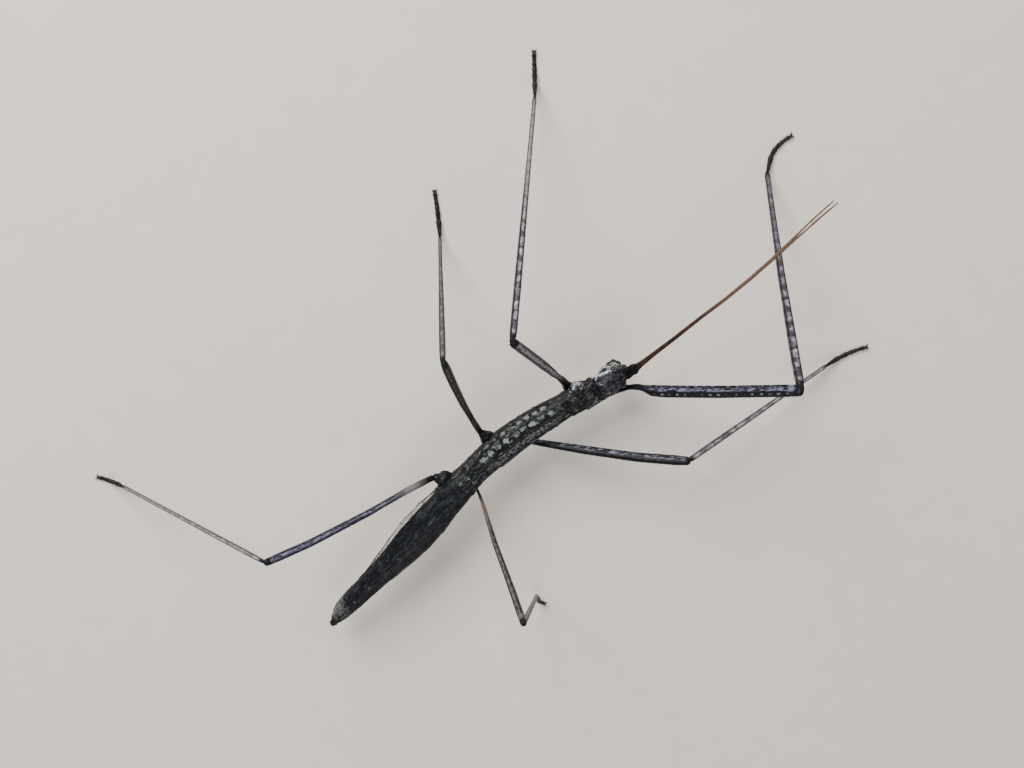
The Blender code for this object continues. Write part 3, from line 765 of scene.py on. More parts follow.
head_shell, lay, form = shell("head_shell", 0.08)
base = grain(lay, 1.3, (0.005, 0.005, 0.0065), (0.028, 0.026, 0.036), (0.085, 0.085, 0.105), (0.8, 0.52),
             (1.5, 0.62), 3.6)
cloudy = clouds(lay, 1.2, 4.0, Distortion=0.8)
streaky = clouds(drawn_out(lay, 1.9, 0.30), 0.95, 2.5, Distortion=0.5)
turned = stirred(form["X"], cloudy, 26.0)
share = stirred(form["Y"], cloudy, 0.20)
# Pale blue-white cheek streaks: partly their own pattern, partly a painted highlight of the glossy shell.
cheek = between(turned, 60.0, 68.0, 90.0, 98.0) * ease(share, 0.08, 0.18)
cheek = cheek * ease(stirred(share, streaky, -1.3), 0.80, 0.68) * ease(streaky, 0.45, 0.54)
colour = tint(cheek * 0.95, base["Color"], (0.56, 0.62, 0.68))
nape = between(share, 0.70, 0.76, 0.84, 0.90) * between(turned, 20.0, 26.0, 38.0, 46.0)
colour = tint(nape * ease(cloudy, 0.46, 0.56) * 0.7, colour, (0.24, 0.23, 0.25))
colour = tint(ease(form["Y"], 0.90, 0.96), colour, (0.005, 0.005, 0.006))
dress(head_shell, colour, base["Roughness"], base["Height"], 0.06)
mount(head, head_shell, "trunk_shell", "head")


# ---------------------------------------------------------------- eyes
# Two small bulging compound eyes, black and glossy, of many tiny facets. Each sits in its own rimmed socket
# on the side of the head and shows a few grey streaks.

EYE_SWELL = 1.04
eye_shell, lay, _ = shell("eye_lens", 0.16)
streak = node(lay.tree, "TexWave", {"bands_direction": "Z"}, Vector=lay, Scale=0.9, Distortion=1.6)["Fac"]
facets = node(lay.tree, "TexVoronoi", Vector=lay, Scale=11.0)["Distance"]
colour = tint(streak, (0.003, 0.003, 0.004), (0.042, 0.040, 0.046))
dress(eye_shell, colour, facets * 0.12 + 0.10, facets, 0.012)
for side in SIDES:
    latitude = np.linspace(0.02, math.pi - 0.02, 48)[:, None]
    longitude = round_turn(64)
    dome = stack(np.cos(latitude), np.sin(latitude) * np.cos(longitude), np.sin(latitude) * np.sin(longitude))
    lens = dome * np.array((1.0, EYE_SWELL, 1.0)) * half_size(f"eye_{side}")[2]
    dimples = 1 + 0.006 * np.cos(latitude * 46) * np.cos(longitude * 40 * np.sin(latitude))
    lens_places = middle_of(f"eye_{side}") + lens * dimples[..., None]
    mount(loft(f"eye_{side}_lens", lens_places, lens, lens), eye_shell, "eye", f"eye_{side}")


# ---------------------------------------------------------------- feelers
# Two long thread feelers. Each has a broad flat first joint, a short round second one and about sixty thin
# joints after them, every one a little wider at its far end. Black, then dark red-brown, then paler.

FEELER_STEP = 0.13
FEELER_AROUND = 16
FEELER_TUCK = 2.2
# How far feelers, thighs and shanks run on past the end of their middle lines.
RUN_ON = 0.3
# Where the first and second joints end, and how long the thin joints are at the root and at the tip.
FEELER_ROOT = (1.9, 3.6)
FEELER_THIN = 3.9
FEELER_JOINT = (1.05, 2.1)


def tube(name, way, girth, up_hint, marks, opened, around, swell, lift=None, shaded=None):
    """A limb piece round its middle line. Swell(share, turn, mark) shapes the outline that the girth gives.
    Its form keeps the turn in degrees, or how far each point faces a shaded side, from -1 to 1."""
    turn = round_turn(around)
    share = ((marks - marks[0]) / (marks[-1] - marks[0]))[:, None]
    middle, side, up = way.frames(marks, up_hint)
    half_width, above, below = (reach[:, None] for reach in girth.at(marks))
    outline, crest = swell(share, turn, marks[:, None])
    across = np.cos(turn) * half_width * outline * opened[:, None]
    high = np.sin(turn) * np.maximum(above, below) * outline * opened[:, None]
    places = middle[:, None] + side[:, None] * across[..., None] + up[:, None] * high[..., None]
    if lift:
        places = lift(places)
    facing = np.degrees(turn)
    if shaded is not None:
        facing = np.cos(turn) * (side @ shaded)[:, None] + np.sin(turn) * (up @ shaded)[:, None]
    return loft(name, places, stack(across, marks[:, None], high), stack(facing, share, crest))


def feeler_joints(length):
    """Where each thin joint of a feeler ends, the joints growing longer outwards."""
    ends = [FEELER_THIN]
    while ends[-1] < length:
        grown = ends[-1] / length
        ends.append(ends[-1] + FEELER_JOINT[0] + (FEELER_JOINT[1] - FEELER_JOINT[0]) * grown)
    return np.array(ends)


feeler_shell, lay, form = shell("feeler_shell", 0.03)
share = form["Y"]
cloudy = clouds(lay, 1.5, 3.0)
colour = tint(ease(share, 0.22, 0.62), (0.034, 0.016, 0.010), (0.135, 0.083, 0.058))
colour = tint(cloudy * 0.35, colour, (0.030, 0.015, 0.010))
colour = tint(form["Z"] * 0.65, colour, (0.020, 0.010, 0.007))
dusky = ease(clouds(lay, 0.40, 2.0), 0.48, 0.58) * ease(share, 0.50, 0.20)
colour = tint(dusky * 0.7, colour, (0.012, 0.007, 0.006))
colour = tint(ease(share, 0.080, 0.050), colour, (0.003, 0.0025, 0.003))
dress(feeler_shell, colour, cloudy * 0.2 + 0.42, cloudy, 0.03)
for side in SIDES:
    way = feeler_ways[side]
    girth = Girth(solid_of(f"antenna_{side}"), way, SKY, FEELER_REACH, 1)
    joints = feeler_joints(way.length)
    marks, opened = run(-FEELER_TUCK, way.length + RUN_ON, FEELER_STEP, 0.3, 0.6)

    def jointed(share, turn, mark):
        """Pinched at each joint and widest just before the next."""
        index = np.clip(np.searchsorted(joints, mark), 1, len(joints) - 1)
        inside = np.clip((mark - joints[index - 1]) / (joints[index] - joints[index - 1]), 0, 1)
        thin = mark > joints[0]
        pinch = np.where(thin, np.exp(-(inside / 0.09) ** 2) + np.exp(-((1 - inside) / 0.05) ** 2), 0)
        pinch = pinch + 1.4 * ridge(mark, FEELER_ROOT[0], 0.16) + ridge(mark, FEELER_ROOT[1], 0.14)
        swelling = np.where(thin, 0.93 + 0.10 * inside ** 2, 1.0)
        swelling = swelling + 0.10 + 0.10 * np.clip(1 - mark / 30.0, 0, 1)
        first_joint = 0.50 * np.clip((2.8 - mark) / 2.2, 0, 1)
        return swelling + first_joint - 0.13 * pinch, np.clip(pinch, 0, 1)

    feeler = tube(f"feeler_{side}", way, girth, SKY, marks, opened, FEELER_AROUND, jointed)
    mount(feeler, feeler_shell, "feeler", f"antenna_{side}")


# ---------------------------------------------------------------- mouth
# The mouth hangs under the front of the head: a notched upper lip over two stout jaws, a lower lip behind
# them, and a pair of five-jointed feelers on each side. Black-brown, with paler rings at the joints.

MOUTH_REACH = 2.6
AHEAD = unit(np.array((-0.1, -1.0, 0.1)))

mouth_solid = solid_of("mouthparts")
mouth_way = Way(follow(mouth_solid, ends_of(mouth_solid, -SKY), -SKY, MOUTH_REACH, 0.25), 4, 0.5)
mouth_girth = Girth(mouth_solid, mouth_way, AHEAD, MOUTH_REACH, 2, step=0.25)


class Even:
    """A girth worked out from rows of (share of the length, half width, half height)."""

    def __init__(self, rows, length):
        self.shares, self.wide, self.high = np.array(rows).T
        self.length = length

    def at(self, distance):
        share = distance / self.length
        high = np.interp(share, self.shares, self.high)
        return np.interp(share, self.shares, self.wide), high, high


def plain(share, turn, mark):
    return 1.0, 0.0


def rod(name, points, rows, up_hint, around, step, swell=plain, rounds=10, ends=(0.3, 0.3), lift=None):
    """A small rounded piece through a few points, with its girth from rows."""
    points = np.array(points, float)
    steps = np.concatenate(((0.0,), np.cumsum(np.linalg.norm(np.diff(points, axis=0), axis=1))))
    fine = np.linspace(0, steps[-1], max(12, int(steps[-1] / step)))
    way = Way(np.column_stack([np.interp(fine, steps, axis) for axis in points.T]), rounds, steps[-1] * 0.06)
    marks, opened = run(0.0, way.length, step, *ends)
    return tube(name, way, Even(rows, way.length), up_hint, marks, opened, around, swell, lift)


mouth_shell, lay, form = shell("mouth_shell", 0.08)
base = grain(lay, 1.0, (0.006, 0.0055, 0.0055), (0.030, 0.026, 0.026), (0.12, 0.11, 0.11), (1.3, 0.5),
             (3.0, 0.62), 5.0)
colour = tint(form["Z"] * 0.6, base["Color"], (0.16, 0.15, 0.15))
dress(mouth_shell, colour, base["Roughness"], base["Height"], 0.04)


def jaw_lines(share, turn, mark):
    """Grooves between the jaws and the lips, and one where the two jaws meet in front."""
    off_front = np.abs((turn - math.pi / 2 + math.pi) % (2 * math.pi) - math.pi)
    grooves = ridge(off_front, 1.0, 0.09) + ridge(off_front, 2.1, 0.09) + 0.8 * ridge(off_front, 0, 0.06)
    return 0.94 - 0.09 * grooves, 0.0


marks, opened = run(-0.8, mouth_way.length + 0.15, 0.12, 0.5, 0.5)
jaws = tube("jaws", mouth_way, mouth_girth, AHEAD, marks, opened, 48, jaw_lines)
mount(jaws, mouth_shell, "mouth", "mouthparts")

mouth_middle, mouth_side, mouth_front = mouth_way.frames(np.array((-0.6, 0.7, 1.7, 2.5)), AHEAD)
LIP_ROWS = ((0.0, 1.10, 0.30), (0.35, 1.25, 0.34), (0.75, 1.05, 0.30), (1.0, 0.70, 0.20))
# How far each lip stands ahead of the middle of the mouth, from its root to its free edge.
LIPS = {"upper_lip": (0.55, 0.80, 0.85, 0.70), "lower_lip": (-0.30, -0.62, -0.66, -0.50)}


def notched(share, turn, mark):
    """A notch in the middle of the lip's free edge, and a cross fold below its root."""
    notch = 0.5 * ridge(np.cos(turn), 0, 0.25) * np.clip((share - 0.75) / 0.25, 0, 1)
    return 1 - notch - 0.08 * ridge(share, 0.3, 0.04), 0.0


for name, stands in LIPS.items():
    lip_points = mouth_middle + mouth_front * np.array(stands)[:, None]
    mount(rod(name, lip_points, LIP_ROWS, AHEAD, 32, 0.08, notched), mouth_shell, "mouth")


# The broad base of the lower lip and its side lobes lie along the underside of the head, pale and streaked.
LOBE_MARKS = np.array((1.4, 2.8, 4.2, 5.8, 7.4))
LOBE_HANG = np.array((0.2, 0.55, 0.60, 0.35, -0.5))
LOBE_ROWS = ((0.0, 1.00, 0.90), (0.3, 1.45, 1.15), (0.7, 1.50, 1.05), (1.0, 1.00, 0.70))
lobe_middle, _, lobe_up = head_way.frames(LOBE_MARKS, SKY)
lobe_below = head_girth.at(LOBE_MARKS)[2] + LOBE_HANG


def lobe_seams(share, turn, mark):
    """Lengthwise grooves between the lip's middle and its side lobes."""
    seam = sum(ridge(np.cos(turn), place, 0.10) for place in (-0.55, 0.0, 0.55)) * (np.sin(turn) < 0)
    return 1 - 0.09 * seam, np.clip(seam, 0, 1)


lobe_shell, lay, form = shell("lower_lip_shell", 0.06)
streaky = clouds(drawn_out(lay, 2.0, 0.4), 1.2, 3.0, Distortion=0.6)
base = grain(lay, 1.3, (0.10, 0.11, 0.11), (0.42, 0.44, 0.45), (0.02, 0.02, 0.02), (1.2, 0.47),
             (2.0, 0.60), 4.0)
colour = tint(ease(streaky, 0.47, 0.55), base["Color"], (0.010, 0.011, 0.013))
colour = tint(form["Z"], colour, (0.008, 0.008, 0.009))
dress(lobe_shell, colour, base["Roughness"], base["Height"], 0.05)
lobe = rod("lower_lip_base", lobe_middle - lobe_up * lobe_below[:, None], LOBE_ROWS, SKY, 48, 0.12,
           lobe_seams, 8, (0.8, 0.8))
mount(lobe, lobe_shell, "mouth")


def way_from(name, before, reach, step=0.5, drift=0.3, rounds=14):
    """The middle line of a CAD node, starting at its end that faces another node."""
    corners, edges = solid_of(name)
    other = solid_of(before)[0]
    gaps = np.linalg.norm(corners[:, None] - other[None], axis=2).min(axis=1)
    end = corners[gaps < gaps.min() + 0.7]
    start = (end.min(axis=0) + end.max(axis=0)) / 2
    away = np.linalg.norm(corners - start, axis=1)
    nearby = corners[(away > 3 * step) & (away < 12 * step)]
    heading = unit((nearby if len(nearby) else corners).mean(axis=0) - start)
    return Way(follow((corners, edges), start, heading, reach, step, drift), rounds, 1.6 * step)


def palp_joints(share, turn, mark):
    pinch = sum(ridge(share, place, 0.022) for place in (0.14, 0.28, 0.52, 0.76))
    return 1.36 - 0.22 * pinch, np.clip(pinch, 0, 1)


JOWL_ROWS = ((0.0, 0.55, 0.40), (0.3, 1.10, 0.60), (0.7, 1.10, 0.60), (1.0, 0.65, 0.40))
FOLD_MARKS = np.array((2.6, 3.8, 5.2, 6.8))
FOLD_OUT = np.array((-0.25, 0.10, 0.05, -0.55))
FOLD_ROWS = ((0.0, 0.50, 0.45), (0.3, 0.85, 0.75), (0.7, 0.80, 0.75), (1.0, 0.50, 0.45))
SICKLE_ROWS = ((0.0, 0.34, 0.30), (0.3, 0.46, 0.42), (0.8, 0.42, 0.38), (1.0, 0.18, 0.18))
LIP_PALP_ROWS = ((0.0, 0.22, 0.22), (0.6, 0.24, 0.24), (1.0, 0.16, 0.16))
fold_middle, fold_side, fold_up = head_way.frames(FOLD_MARKS, SKY)
fold_wide, _, fold_below = head_girth.at(FOLD_MARKS)


def jowl_folds(share, turn, mark):
    """Two lengthwise folds on the broad side lobe that the palp lies against."""
    fold = ridge(np.cos(turn), 0.45, 0.12) + ridge(np.cos(turn), -0.35, 0.12)
    return 1 - 0.10 * fold, np.clip(fold, 0, 1)


for side, sign in SIDES.items():
    palp_way = way_from(f"palp_{side}", "head", 0.9, 0.2, 0.7, 4)
    palp_girth = Girth(solid_of(f"palp_{side}"), palp_way, AHEAD, 0.8, 2, step=0.2)
    marks, opened = run(-0.7, palp_way.length + 0.05, 0.07, 0.2, 0.3)
    palp = tube(f"palp_{side}_joints", palp_way, palp_girth, AHEAD, marks, opened, 18, palp_joints)
    mount(palp, mouth_shell, "mouth", f"palp_{side}")
    palp_points = palp_way.read(np.linspace(0, palp_way.length, 9))
    inward = head_way.read(np.linspace(2.0, 5.5, 9)[::-1]) - palp_points
    flat_on = unit(np.cross(np.gradient(palp_points, axis=0), inward).mean(axis=0))
    jowl = rod(f"jowl_{side}", palp_points[1:8] + unit(inward[1:8]) * 1.75, JOWL_ROWS, flat_on, 32, 0.12,
               jowl_folds, 6, (0.5, 0.5))
    mount(jowl, lobe_shell, "mouth")
    sickle = rod(f"sickle_lobe_{side}", palp_points[:8] + unit(inward[:8]) * 0.72, SICKLE_ROWS, flat_on, 20,
                 0.10, jowl_folds, 6, (0.3, 0.4))
    mount(sickle, mouth_shell, "mouth")
    hang = mouth_middle[2] - mouth_front[2] * 0.9 + mouth_side[2] * (0.75 * sign)
    bend = hang - SKY * 0.9 + mouth_side[2] * (0.25 * sign)
    fold_points = fold_middle + fold_side * (sign * (fold_wide + FOLD_OUT))[:, None]
    fold_points = fold_points - fold_up * (fold_below * 0.5)[:, None]
    fold = rod(f"cheek_fold_{side}", fold_points, FOLD_ROWS, SKY, 32, 0.12, jowl_folds, 6, (0.5, 0.6))
    mount(fold, lobe_shell, "mouth")
    small = rod(f"lip_palp_{-sign + 1}", (hang, bend, bend + AHEAD * 0.7 - SKY * 0.25), LIP_PALP_ROWS, SKY,
                14, 0.07, palp_joints, 6, (0.15, 0.15))
    mount(small, mouth_shell, "mouth")


# ---------------------------------------------------------------- legs: hip joints
# Each leg hangs from a stout hip joint on the side of the thorax, a short ridged cone of black shell with a
# bead round its outer end, in which the leg hinges.

LEGS = tuple(f"{pair}_{side}" for pair in ("fore", "middle", "hind") for side in ("left", "right"))
HIP_REACH = 3.2
HIP_UP = SKY + BACKWARD * 0.3


def hip_finish(name, highlight_fleck_level):
    finish, lay, _ = shell(name, 0.12)
    # The pale blue flecks are partly the shell's grain and partly painted highlights.
    base = grain(lay, 1.4, (0.003, 0.0035, 0.0045), (0.014, 0.015, 0.019), (0.17, 0.20, 0.25), (1.0, 0.56),
                 (1.4, highlight_fleck_level), 4.2)
    return dress(finish, base["Color"], base["Roughness"] * 0.9, base["Height"], 0.05)


# The front hips are more strongly flecked; the pale blue flecks are partly grain and partly painted
# highlights of the glossy shell.
hip_shells = {True: hip_finish("front_hip_shell", 0.56), False: hip_finish("hip_shell", 0.68)}


def hip_ridges(share, turn, mark):
    ribs = 0.03 * np.cos(4 * turn) ** 8 * within(share, 0.3, 0.8, 0.2)
    bead = 0.05 * ridge(share, 0.14, 0.05) - 0.02 * ridge(share, 0.25, 0.05)
    flare = 0.60 * share ** 2 * np.cos(turn) ** 2
    return 0.80 + 1.35 * share ** 0.9 + ribs + bead + flare, 0.0


for leg in LEGS:
    name = f"coxa_{leg}"
    way = way_from(name, f"femur_{leg}", HIP_REACH, 0.3, 0.4, 10)
    girth = Girth(solid_of(name), way, HIP_UP, HIP_REACH, 3, step=0.3)
    marks, opened = run(-0.35, way.length + 2.0, 0.14, 0.7, 1.0)
    hip = tube(f"hip_{leg}", way, girth, HIP_UP, marks, opened, 40, hip_ridges)
    mount(hip, hip_shells[leg.startswith("fore")], "trunk_shell", name)


# ---------------------------------------------------------------- legs: thighs
# Long four-keeled thighs, dark blue-black with a pale lavender-grey stripe down each face and pale dashes
# along the keels. The front pair are flat from side to side, toothed below, and thin and bowed at the root.

THIGH_STEP = 0.20
THIGH_AROUND = 48
THIGH_TUCK = 1.3
THIGH_REACH, SHANK_REACH, FOOT_REACH = 2.6, 1.9, 1.3
KEEL = {"fore": 0.105, "middle": 0.085, "hind": 0.075}
# How far the teeth on the keels stand out, and how far apart they are.
TEETH = {"fore": (0.085, 1.45), "middle": (0.045, 1.9), "hind": (0.035, 2.2)}
# How far along the thigh its thin root ends, and the middle of the knee.
ROOT_SHARE = {"fore": 0.20, "middle": 0.04, "hind": 0.04}
KNEE_SHARE = 0.985


def off_keel(turn):
    """The turn from a point of a leg piece to the nearest of its four lengthwise keels."""
    off = (turn - math.pi / 4) % (math.pi / 2)
    return np.minimum(off, math.pi / 2 - off)


def crests(turn, width=0.17):
    """1 on each keel, falling to 0 on the faces between."""
    return np.exp(-(off_keel(turn) / width) ** 2)


def near_keel(turn):
    """1 on each keel and 0 along the middle of each face."""
    return 1 - off_keel(turn) / (math.pi / 4)


def teeth(mark, pitch):
    """A row of sharp teeth from 0 to 1, a pitch apart."""
    return (1 - np.abs((mark / pitch) % 1 * 2 - 1)) ** 2


def thigh_outline(pair, size, root_size):
    """Keels with teeth, and a thin root which root_size makes stouter than its solid."""
    def outline(share, turn, mark):
        crest = crests(turn)
        grown = np.clip((share - ROOT_SHARE[pair]) / 0.12, 0.25, 1.0)
        bite, pitch = TEETH[pair]
        tooth = teeth(mark, pitch)
        lower = np.where(np.sin(turn) < 0, 1.0, 0.45)
        knee = 0.07 * ridge(share, KNEE_SHARE, 0.02) * np.abs(np.cos(turn))
        knee = knee - 0.06 * ridge(share, KNEE_SHARE - 0.04, 0.014)
        hollow = 0.03 * (1 - crest)
        shape = 0.965 + crest * (KEEL[pair] * grown + bite * tooth * lower * grown) - hollow * grown + knee
        stouter = 1 + root_size * (np.clip((0.22 - share) / 0.14, 0, 1) - 0.22 * ridge(share, 0.33, 0.09))
        return shape * size * stouter, near_keel(turn)
    return outline


band_tree, given, out = group(
    "cross_bands",
    (("Place", "Vector", None), ("Pitch", "Float", 3.4), ("Width", "Float", 0.45), ("Wander", "Float", 0.5),
     ("Softness", "Float", 0.12)),
    (("Mask", "Float"),))
sway = clouds(given["Place"], 0.55, 2.0)
paces = (sway * given["Wander"] + split(given["Place"])["Y"]) / given["Pitch"]
swing = calc("ABSOLUTE", calc("FRACT", paces) - 0.5)
half = given["Width"] * 0.5
feed(out["Mask"], ease(swing, half + given["Softness"], half - given["Softness"]))


def bands(lay, **inputs):
    return node(lay.tree, "Group", {"node_tree": band_tree}, Place=lay, **inputs)["Mask"]


def thigh_finish(name, dark, pale, root, stripe, width, banding, root_end, shade, dashed, ring, sparse):
    """Stripe is how strongly the pale streak down each face shows and width how broad it is, banding how much
    dark cross bands break it up, shade how strongly the faces turned away from the light are darkened as
    painted shade, dashed how strongly pale dashes show along the keels, ring how pale the ring before the
    knee is on the faces towards the light, and sparse how much of the streak is missing."""
    finish, lay, form = shell(name, 0.05)
    share, keelward = form["Y"], form["Z"]
    mottle = tuple(0.55 * low + 0.18 * high for low, high in zip(dark, pale))
    base = grain(lay, 2.0, dark, mottle, faded(pale, 0.6), (1.1, 0.52), (2.3, 0.62), 5.0)
    streaks = clouds(drawn_out(lay, 1.5, 0.42), 1.2, 3.0)
    patchy = clouds(lay, 0.35, 2.0)
    crossed = bands(lay, Pitch=3.6, Width=0.42, Wander=1.8)
    edge = stirred(stirred(keelward, streaks, -0.6), patchy, 0.5)
    face = ease(edge, width + 0.12, width - 0.12) * ease(streaks, sparse, sparse + 0.13)
    colour = tint(face * (1.0 - crossed * banding) * stripe, base["Color"], pale)
    # Painted shade: the faces turned away from the light are darkened.
    darkened_face = ease(form["X"], -0.30, 0.10)
    colour = tint(darkened_face * shade, colour, tint(streaks, faded(dark, 0.35), dark))
    dashes = bands(lay, Pitch=2.95, Width=0.30, Wander=1.6, Softness=0.10) * ease(patchy, 0.42, 0.60)
    keel = ease(keelward, 0.70, 0.84)
    colour = tint(keel * 0.85, colour, faded(dark, 0.5))
    colour = tint(keel * dashes * dashed, colour, faded(pale, 0.9))
    frayed = stirred(share, streaks, 0.03)
    root_colour = tint(ease(frayed, 0.06, 0.14), faded(root, 0.4), tint(streaks, root, faded(root, 1.9)))
    colour = tint(ease(share, root_end, root_end * 0.45), colour, root_colour)
    colour = tint(ease(frayed, 0.066, 0.036), colour, (0.006, 0.006, 0.007))
    # The pale ring before the knee shows only on the faces towards the light, not in the painted shade.
    before_knee = between(frayed, 0.930, 0.945, 0.960, 0.968) * ease(form["X"], 0.25, -0.10)
    colour = tint(before_knee * ring, colour, pale)
    colour = tint(ease(share, 0.970, 0.978), colour, (0.006, 0.006, 0.008))
    return dress(finish, colour, base["Roughness"], base["Height"], 0.05)


# Thigh faces turned this way, away from the light, carry painted shade.
AWAY_FROM_LIGHT = unit(np.array((-0.75, 0.57, 0.34)))
FACE_UP = unit(np.array((0.33, -0.12, 0.93)))
# In each row, shade sets the painted shade on the faces turned away from the light.
THIGH_FINISHES = {
    "fore_left": dict(dark=(0.013, 0.011, 0.015), pale=(0.340, 0.285, 0.335), root=(0.020, 0.016, 0.016),
                      stripe=0.95, width=0.46, banding=0.30, root_end=0.20, shade=0.25, dashed=0.40,
                      ring=0.3, sparse=0.36),
    "fore_right": dict(dark=(0.0045, 0.0055, 0.009), pale=(0.135, 0.140, 0.195), root=(0.005, 0.005, 0.007),
                       stripe=0.85, width=0.36, banding=0.25, root_end=0.30, shade=0.97, dashed=0.75,
                       ring=0.6, sparse=0.45),
    "middle_left": dict(dark=(0.009, 0.007, 0.008), pale=(0.115, 0.090, 0.100), root=(0.032, 0.021, 0.016),
                        stripe=0.85, width=0.36, banding=0.80, root_end=0.25, shade=0.35, dashed=0.3,
                        ring=0.2, sparse=0.42),
    "middle_right": dict(dark=(0.0045, 0.0055, 0.008), pale=(0.165, 0.175, 0.210),
                         root=(0.060, 0.050, 0.045), stripe=0.92, width=0.55, banding=0.55, root_end=0.14,
                         shade=0.97, dashed=0.12, ring=0.1, sparse=0.49),
    "hind_left": dict(dark=(0.019, 0.019, 0.032), pale=(0.180, 0.180, 0.245), root=(0.098, 0.090, 0.092),
                      stripe=0.85, width=0.42, banding=0.25, root_end=0.26, shade=0.60, dashed=0.3, ring=0.0,
                      sparse=0.42),
    "hind_right": dict(dark=(0.016, 0.012, 0.015), pale=(0.135, 0.115, 0.135), root=(0.070, 0.050, 0.044),
                       stripe=0.70, width=0.45, banding=0.60, root_end=0.34, shade=0.60, dashed=0.3,
                       ring=0.5, sparse=0.38),
}
# How far thighs, shanks and thigh roots are thinner or stouter than their solids in the imported model.
THIGH_SIZE = {"fore_left": 0.84, "fore_right": 1.10, "hind_right": 0.90}
SHANK_SIZE = {"fore_left": 1.08, "fore_right": 1.28, "middle_left": 1.04, "middle_right": 1.08,
              "hind_left": 0.90, "hind_right": 0.98}
ROOT_SIZE = {"fore_left": 0.65, "middle_left": 0.25, "hind_left": 0.25}

thigh_ways = {leg: way_from(f"femur_{leg}", f"coxa_{leg}", THIGH_REACH) for leg in LEGS}
shank_ways = {leg: way_from(f"tibia_{leg}", f"femur_{leg}", SHANK_REACH) for leg in LEGS}
foot_ways = {leg: way_from(f"tarsus_{leg}", f"tibia_{leg}", FOOT_REACH, 0.3, 0.5, 8) for leg in LEGS}


def first(way):
    return way.at(np.array((0.0,)))[0]


def thigh_up(leg):
    """Which way is up across a thigh. The left thighs turn a flat face up, and the right ones stand square to
    the line that the knee hinges about."""
    if leg.endswith("left"):
        return FACE_UP
    hip, knee, ankle = first(thigh_ways[leg]), first(shank_ways[leg]), first(foot_ways[leg])
    hinge = unit(np.cross(knee - hip, ankle - knee))
    return np.cross(hinge, unit(knee - hip))


thigh_ups = {leg: thigh_up(leg) for leg in LEGS}
thigh_girths = {leg: Girth(solid_of(f"femur_{leg}"), thigh_ways[leg], thigh_ups[leg], THIGH_REACH, 2, 0.6)
                for leg in LEGS}
for leg in LEGS:
    way = thigh_ways[leg]
    marks, opened = run(-THIGH_TUCK, way.length + RUN_ON, THIGH_STEP, 0.5, 0.9)
    outline = thigh_outline(leg.split("_")[0], THIGH_SIZE.get(leg, 1.0), ROOT_SIZE.get(leg, 0.0))
    thigh = tube(f"thigh_{leg}", way, thigh_girths[leg], thigh_ups[leg], marks, opened, THIGH_AROUND, outline,
                 shaded=AWAY_FROM_LIGHT)
    mount(thigh, thigh_finish(f"thigh_shell_{leg}", **THIGH_FINISHES[leg]), "thigh", f"femur_{leg}")


# ---------------------------------------------------------------- legs: shanks
# Thin straight shanks, keeled like the thighs, pale lavender-grey with dark cross bands about four
# millimetres apart and plainer further out. Each is narrow at the knee and flares a little at the ankle.

SHANK_STEP = 0.20
SHANK_AROUND = 36
SHANK_TUCK = 1.5
SHANK_TEETH = 1.6


def shank_finish(name, dark, pale, far, banding, pitch, plainer, shade):
    """Pale marks down the middle of each face, broken by dark cross bands, between dark keels. Far is the
    colour of the outer half and plainer how much it hides the marks there, and shade is how dark the face
    beside the knee is that looks back towards the tail."""
    finish, lay, form = shell(name, 0.04)
    share, keelward = form["Y"], form["Z"]
    mottle = tuple(0.45 * low + 0.35 * high for low, high in zip(dark, pale))
    base = grain(lay, 2.2, faded(mottle, 0.6), mottle, dark, (1.2, 0.47), (2.0, 0.60), 5.0)
    streaks = clouds(drawn_out(lay, 1.6, 0.45), 1.3, 3.0)
    wide = bands(lay, Pitch=pitch, Width=0.46, Wander=5.0, Softness=0.14)
    narrow = bands(lay, Pitch=pitch * 0.5, Width=0.34, Wander=1.3, Softness=0.12)
    blotch = clouds(lay, 0.62, 3.0, Roughness=0.6)
    edge = stirred(stirred(keelward, streaks, -0.7), clouds(lay, 0.30, 2.0), 0.9)
    centre = ease(edge, 0.66, 0.40) * ease(streaks, 0.34, 0.50) * (1.0 - wide * banding)
    colour = tint(centre * at_least(0.25, ease(blotch, 0.42, 0.58)), base["Color"], pale)
    colour = tint(wide * (banding * 0.7), colour, dark)
    outer_half = ease(blotch * 0.5 + share, 0.60, 0.95)
    colour = tint(outer_half * plainer, colour, tint(streaks, faded(far, 0.45), faded(far, 1.5)))
    keel = ease(keelward, 0.55, 0.78) * (1.0 - narrow * 0.5)
    colour = tint(keel * 0.85, colour, faded(dark, 0.7))
    darkened_face = ease(form["X"], 0.10, 0.45) * ease(share, 0.75, 0.45) * ease(blotch, 0.30, 0.44)
    colour = tint(darkened_face * shade, colour, dark)
    colour = tint(ease(share, 0.045, 0.020), colour, (0.007, 0.007, 0.009))
    colour = tint(ease(share, 0.965, 0.990), colour, faded(dark, 0.6))
    return dress(finish, colour, base["Roughness"], base["Height"], 0.05)


